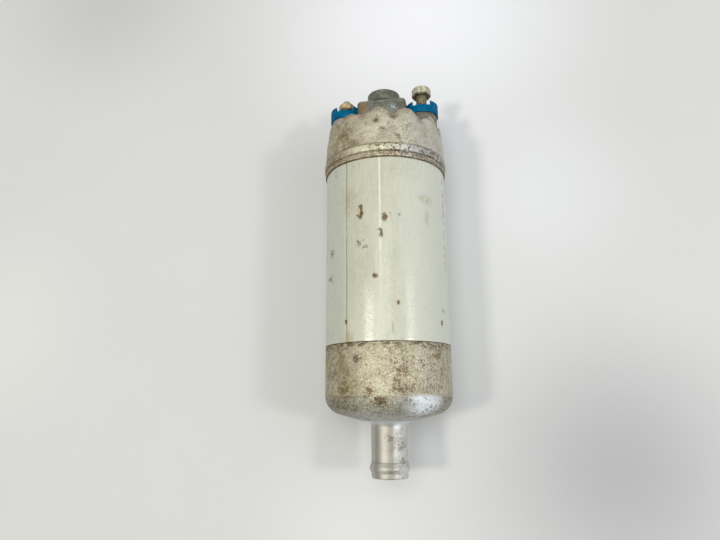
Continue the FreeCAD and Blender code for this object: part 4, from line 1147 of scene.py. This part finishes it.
def can_shape(across, along, turn):
    """The crimped rim's waves, the dimples under them and the can's small dents."""
    dip = wave(turn)
    drawn = smooth(along, RIM - 10.0, RIM)
    station = along - dip * drawn
    radius = across
    if along > BEAD_TOP + 0.5:
        share = dip / WAVE_DEPTH
        below = station - (RIM - WAVE_DEPTH - DIMPLE_BELOW)
        press = DIMPLE_DEPTH * share ** 2.5 * math.exp(-(below / DIMPLE_REACH) ** 2)
        flare = FLARE * (1 - share) * smooth(along, RIM - 5.0, RIM - 1.0)
        radius += flare - press
    spot = Vector((math.sin(turn) * 2.2, along * 0.08, math.cos(turn) * 2.2))
    dent = noise.noise(spot) * DENT
    if TAIL_ROOT < along < -LABEL_END or along > BEAD_TOP + 1.0:
        radius += dent - DENT_SINK
    return radius, station


def make_can(finishes):
    """Drawn can with its tail, dome, bead and crimped rim: the showpiece."""
    outside = rounded([
        (TAIL_BORE, TAIL_TIP, 0.0),
        (TAIL_RADIUS, TAIL_TIP, 0.6),
        (TAIL_RADIUS, TAIL_TIP + 2.1, 0.3),
        (BARB_RADIUS, BARB_LOW, 0.8),
        (BARB_RADIUS, BARB_HIGH, 0.8),
        (TAIL_RADIUS, BARB_TOP, 0.3),
        (TAIL_RADIUS, TAIL_ROOT, 1.8),
        (CAP_RADIUS, DOME_CORNER, 8.0),
        (CAP_RADIUS, -LABEL_END - 0.05, 0.25),
        (LABEL_SEAT, -LABEL_END - 0.05, 0.0),
        (LABEL_SEAT, LABEL_END + 0.05, 0.0),
        (STOP_RING_RADIUS, LABEL_END + 0.05, 0.35),
        (STOP_RING_RADIUS, STOP_RING_TOP - 0.35, 0.2),
        (STOP_RING_RADIUS - 0.35, STOP_RING_TOP, 0.1),
        (BEAD_RADIUS, STOP_RING_TOP + 0.7, 0.6),
        (BEAD_RADIUS, BEAD_TOP - 0.7, 0.6),
        (COLLAR_RADIUS - 0.35, BEAD_TOP, 0.15),
        (COLLAR_RADIUS, BEAD_TOP + 0.7, 0.4),
        (BEND_RADIUS, BEND_STATION, 6.0),
        (RIM_RADIUS, RIM, 0.55),
        (LIP_RADIUS, RIM, 0.55),
        (LIP_RADIUS, SHOULDER + 2.3, 0.3),
        (CAN_BORE, SHOULDER, 0.0),
        (CAN_BORE, DOME_CORNER + 6.0, 6.0),
        (TAIL_BORE, TAIL_ROOT + 3.0, 1.0),
        (TAIL_BORE, TAIL_TIP, 0.0),
    ], 8)
    can = lathe("can_shell", divided(outside, 0.8), CAN_SIDES, can_shape)
    metals = {
        "tail": tail_metal(),
        "cap": finishes["can_aluminium"],
        "bead": bead_metal(),
        "collar": collar_metal(),
    }
    for metal in metals.values():
        can.data.materials.append(metal)
    order = list(metals)
    for face in can.data.polygons:
        station = face.center.y / MM
        zone = "cap"
        if station < TAIL_ROOT + 0.9:
            zone = "tail"
        elif station > BEAD_TOP + 0.15:
            zone = "collar"
        elif station > LABEL_END - 1:
            zone = "bead"
        face.material_index = order.index(zone)
    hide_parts("pump_can")
    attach(can, "pump_body")


def make_label(finishes):
    """Sleeve wound once round the can, its end lapping over its start."""
    seam_turn = bearing(seen_at(SEAM))

    def sleeve(across, along, turn):
        past = (turn - seam_turn) % math.tau
        under = smooth(past, math.tau - 0.06, math.tau)
        ragged = RAGGED * noise.noise(Vector((math.sin(turn) * 9, math.cos(turn) * 9, along)))
        edge = smooth(abs(along), LABEL_END - 0.6, LABEL_END) * ragged
        return across - LAP * under, along - math.copysign(abs(edge), along)

    line = rounded([
        (LABEL_SEAT + 0.06, -LABEL_END, 0.0),
        (LABEL_RADIUS, -LABEL_END, 0.12),
        (LABEL_RADIUS, LABEL_END, 0.12),
        (LABEL_SEAT + 0.06, LABEL_END, 0.0),
    ], 3)
    label = lathe("label_sleeve", divided(line, 1.5), LABEL_SIDES, sleeve)
    label.data.materials.append(finishes["label_white"])
    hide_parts("label_wrap")
    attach(label, "pump_body")


def thread_ring(station, radius, pitch, fade, around):
    """One ring of a screw thread, as (station, radius) points."""
    depth = THREAD_DEPTH * pitch * fade
    ring = []
    for part in range(around):
        phase = (station / pitch - part / around) % 1.0
        groove = max(0.0, 1 - abs(phase - 0.5) / GROOVE_HALF)
        ring.append((station, radius - depth * min(groove * GROOVE_FLAT, 1.0)))
    return ring


def make_stud(side, radius, pitch, top, crown):
    """Threaded stud with a rounded end."""
    name = f"{side}_stud"
    low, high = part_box(name)
    centre = (low[0] + high[0]) / 2 / MM
    foot = low[1] / MM
    around = STUD_SIDES
    seat = foot + STUD_HEAD
    head = ((foot, 0.001), (foot, STUD_HEAD_RADIUS), (seat, STUD_HEAD_RADIUS), (seat, radius))
    rings = [[place] * around for place in head]
    thread_from = seat + PLAIN_SHANK
    step = pitch / THREAD_RINGS
    for index in range(int((top - crown - thread_from) / step) + 1):
        station = thread_from + index * step
        fade = smooth(station, thread_from, thread_from + pitch)
        fade *= 1 - smooth(station, top - crown - 0.4 * pitch, top - crown)
        rings.append(thread_ring(station, radius, pitch, fade, around))
    for index in range(1, CROWN_STEPS + 1):
        angle = math.pi / 2 * index / CROWN_STEPS
        end = radius * (1 - (1 - math.cos(angle)) * 0.98)
        rings.append([(top - crown + crown * math.sin(angle), end)] * around)
    stud = skin(name + "_threaded", rings, centre, capped=True, sharp=50.0)
    stud.data.materials.append(worn_metal(
        name + "_metal", (122, 114, 90), (168, 158, 132), (84, 74, 48), (0.4, 0.6), 0.5, 0.9))
    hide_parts(name)
    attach(stud, "pump_body")


def make_nut(side, flats, hole, tones):
    """Hexagon nut, its corners taken off by a cone at both faces."""
    name = f"{side}_nut"
    low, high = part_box(name)
    centre = (low[0] + high[0]) / 2 / MM
    foot, top = low[1] / MM, high[1] / MM
    around = NUT_SIDES
    face_radius = flats / 2 * NUT_FACE
    corner = flats / math.sqrt(3) - NUT_CORNER

    def hexagon(part):
        turn = (math.tau * part / around + math.pi / 6) % (math.pi / 3) - math.pi / 6
        return min(flats / 2 / math.cos(turn), corner)

    mouth = hole + NUT_CHAMFER
    below = ((foot + NUT_CHAMFER, hole), (foot, mouth), (foot, face_radius))
    rings = [[place] * around for place in below]
    for index in range(NUT_LEVELS + 1):
        station = foot + (top - foot) * index / NUT_LEVELS
        cone = face_radius + 0.1 + min(station - foot, top - station) * NUT_CONE
        rings.append([(station, min(hexagon(part), cone)) for part in range(around)])
    above = ((top, face_radius), (top, mouth), (top - NUT_CHAMFER, hole))
    rings += [[place] * around for place in above]
    nut = skin(name + "_formed", rings, centre, closed=True, sharp=24.0)
    nut.data.materials.append(nut_metal(name + "_metal", *tones, foot))
    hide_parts(name)
    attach(nut, name)


def make_spring(name, way, finishes):
    """Coil spring of round wire with closed ends."""
    low, high = (Vector(corner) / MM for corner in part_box(name))
    way = Vector(way)
    length = abs((high - low).dot(way))
    foot = (low + high) / 2 - way * length / 2
    across = way.orthogonal().normalized()
    beside = way.cross(across)
    reach = min(abs((high - low).dot(across)), abs((high - low).dot(beside))) / 2 - SPRING_WIRE
    made = bmesh.new()
    rows = []
    for step in range(SPRING_STEPS + 1):
        share = step / SPRING_STEPS
        turn = math.tau * SPRING_TURNS * share
        outward = across * math.cos(turn) + beside * math.sin(turn)
        climb = min(max((share - SPRING_END) / (1 - 2 * SPRING_END), 0.0), 1.0)
        rise = climb * (length - 2 * SPRING_WIRE)
        middle = foot + outward * reach + way * (SPRING_WIRE + rise)
        row = []
        for part in range(WIRE_SIDES):
            angle = math.tau * part / WIRE_SIDES
            offset = (outward * math.cos(angle) + way * math.sin(angle)) * SPRING_WIRE
            row.append(made.verts.new((middle + offset) * MM))
        rows.append(row)
    join_rows(made, rows)
    made.faces.new(rows[0])
    made.faces.new(rows[-1])
    spring = into_object(name + "_coil", made, 60.0)
    spring.data.materials.append(finishes["spring_steel"])
    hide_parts(name)
    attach(spring, "pump_body")
    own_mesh(spring)


def soften(node):
    """Round a CAD node's sharp edges a little."""
    weld = node.modifiers.new("weld", "WELD")
    weld.merge_threshold = 0.000002
    bevel = node.modifiers.new("round", "BEVEL")
    bevel.limit_method = "ANGLE"
    bevel.angle_limit = SOFT_FROM
    bevel.width = EDGE_ROUND * MM
    bevel.segments = 3
    bevel.harden_normals = True


def dress_nodes(finishes):
    """Every CAD node that stays takes its slot's material."""
    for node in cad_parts.values():
        for place in node.material_slots:
            place.material = finishes[place.material.name]


# Surroundings

def table_point(pixel):
    """The point of the table seen at a pixel of the photograph, in mm."""
    way = sight(pixel)
    point = CAMERA_PLACE + way * ((FLOOR_LEVEL - CAMERA_PLACE.z) / way.z)
    return (point.x / MM, point.y / MM, 0.0)


def painted_light_patch(paint, pixel, reach):
    """A wide soft pool of painted light or painted dimness on the table, reach in mm."""
    return paint.rise(paint.away(table_point(pixel)), reach, 0.0)


def seen(tree):
    """1 for what the camera sees, straight, reflected or through glass."""
    path = tree.nodes.new("ShaderNodeLightPath")
    strongest = path.outputs["Is Camera Ray"]
    for name in ("Is Glossy Ray", "Is Transmission Ray"):
        made = tree.nodes.new("ShaderNodeMath")
        made.operation = "MAXIMUM"
        tree.links.new(strongest, made.inputs[0])
        tree.links.new(path.outputs[name], made.inputs[1])
        strongest = made.outputs[0]
    return strongest


def fade_far(paint):
    """The table's far parts as pale as the room behind them, without lighting the pump."""
    away = paint.vector("LENGTH", paint.place).outputs["Value"]
    share = paint.scale(paint.rise(away, *FADE), seen(paint.tree))
    glow = paint.node("ShaderNodeEmission", {"Color": ROOM}).outputs["Emission"]
    surface = paint.shader.outputs["BSDF"]
    blend = paint.node("ShaderNodeMixShader", {0: share, 1: surface, 2: glow})
    paint.put(paint.output.inputs["Surface"], blend.outputs["Shader"])


def make_floor():
    """White table that keeps the pump's shadow, with painted pools of light and dimness as in the
    photograph.
    """
    paint = Recipe("table_white")
    cloud = paint.noise(0.012, 3.0, 0.5)
    paint.ground(cloud, (213, 214, 211), (219, 219, 217))
    # Painted light and dimness: soft pale and dim places over the table.
    paint.wash(painted_light_patch(paint, TABLE_BRIGHT, 125.0), (246, 246, 249))
    paint.wash(painted_light_patch(paint, TABLE_RIGHT, 66.0), (232, 232, 235), 0.7)
    paint.wash(painted_light_patch(paint, TABLE_DIM_TOP, 90.0), (198, 197, 195), 0.8)
    paint.wash(painted_light_patch(paint, TABLE_DIM_LOW, 85.0), (182, 181, 183), 0.95)
    paint.wash(painted_light_patch(paint, TABLE_EDGE, 70.0), (229, 229, 224), 0.6)
    paint.wash(painted_light_patch(paint, TABLE_LOW, 60.0), (228, 228, 226), 0.8)
    speck = paint.rise(paint.noise(0.9, 2.0, 0.5), 0.74, 0.8)
    paint.wash(speck, (150, 148, 140), 0.4)
    paint.bump(paint.noise(1.5, 3.0, 0.5), 0.01)
    paint.finish(paint.level(cloud, 0.7, 0.85), 0.0)
    fade_far(paint)
    mesh = bpy.data.meshes.new("table")
    far = TABLE_HALF
    corners = [(-far, -far, 0), (far, -far, 0), (far, far, 0), (-far, far, 0)]
    mesh.from_pydata(corners, [], [(0, 1, 2, 3)])
    table = bpy.data.objects.new("table", mesh)
    table.location.z = FLOOR_LEVEL
    mesh.materials.append(paint.material)
    bpy.context.scene.collection.objects.link(table)


def make_lamp(name, place, size, power, colour):
    """A soft square lamp that looks at the pump's middle."""
    data = bpy.data.lights.new(name, "AREA")
    data.shape = "SQUARE"
    data.size = size
    data.energy = power
    data.color = colour
    lamp = bpy.data.objects.new(name, data)
    lamp.location = place
    lamp.rotation_euler = (-Vector(place)).to_track_quat("-Z", "Y").to_euler()
    bpy.context.scene.collection.objects.link(lamp)


def make_light():
    """Soft light from above and the right, two small lamps for the shadows, and a pale room."""
    world = bpy.data.worlds.new("room")
    bpy.context.scene.world = world
    world.use_nodes = True
    background = world.node_tree.nodes["Background"]
    mixed = world.node_tree.nodes.new("ShaderNodeMix")
    mixed.data_type = "RGBA"
    world.node_tree.links.new(seen(world.node_tree), mixed.inputs["Factor"])
    mixed.inputs[6].default_value = AMBIENT
    mixed.inputs[7].default_value = ROOM
    world.node_tree.links.new(mixed.outputs[2], background.inputs["Color"])
    make_lamp("overhead", (0.0, 0.1, 1.5), size=0.8, power=8.8, colour=(0.98, 1.0, 1.0))
    make_lamp("window", (1.0, 0.1, 0.95), size=0.9, power=3.2, colour=(0.82, 0.92, 1.0))
    make_lamp("right_lamp", (0.67, -0.1, 0.68), size=0.1, power=1.6, colour=(1.0, 1.0, 0.96))
    make_lamp("left_lamp", (-0.43, -0.12, 0.83), size=0.12, power=2.3, colour=(1.0, 0.94, 0.82))


def main():
    """Build the scene."""
    scene = bpy.context.scene
    scene.view_settings.view_transform = "Standard"
    make_camera()
    finishes = make_finishes()
    dress_nodes(finishes)
    make_can(finishes)
    make_label(finishes)
    make_stud("positive", radius=2.5, pitch=0.8, top=83.1, crown=0.6)
    make_stud("negative", radius=2.0, pitch=0.7, top=79.9, crown=1.4)
    make_nut("positive", flats=8.0, hole=2.54, tones=NUT_ZINC)
    make_nut("negative", flats=7.0, hole=2.04, tones=NUT_BRASS)
    make_spring("brush_spring_right", (1, 0, 0), finishes)
    make_spring("brush_spring_left", (-1, 0, 0), finishes)
    make_spring("check_spring", (0, 1, 0), finishes)
    make_spring("relief_spring", (0, -1, 0), finishes)
    for name in ("positive_collar", "negative_collar", "outlet_cover"):
        soften(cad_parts[name])
    make_floor()
    make_light()


main()
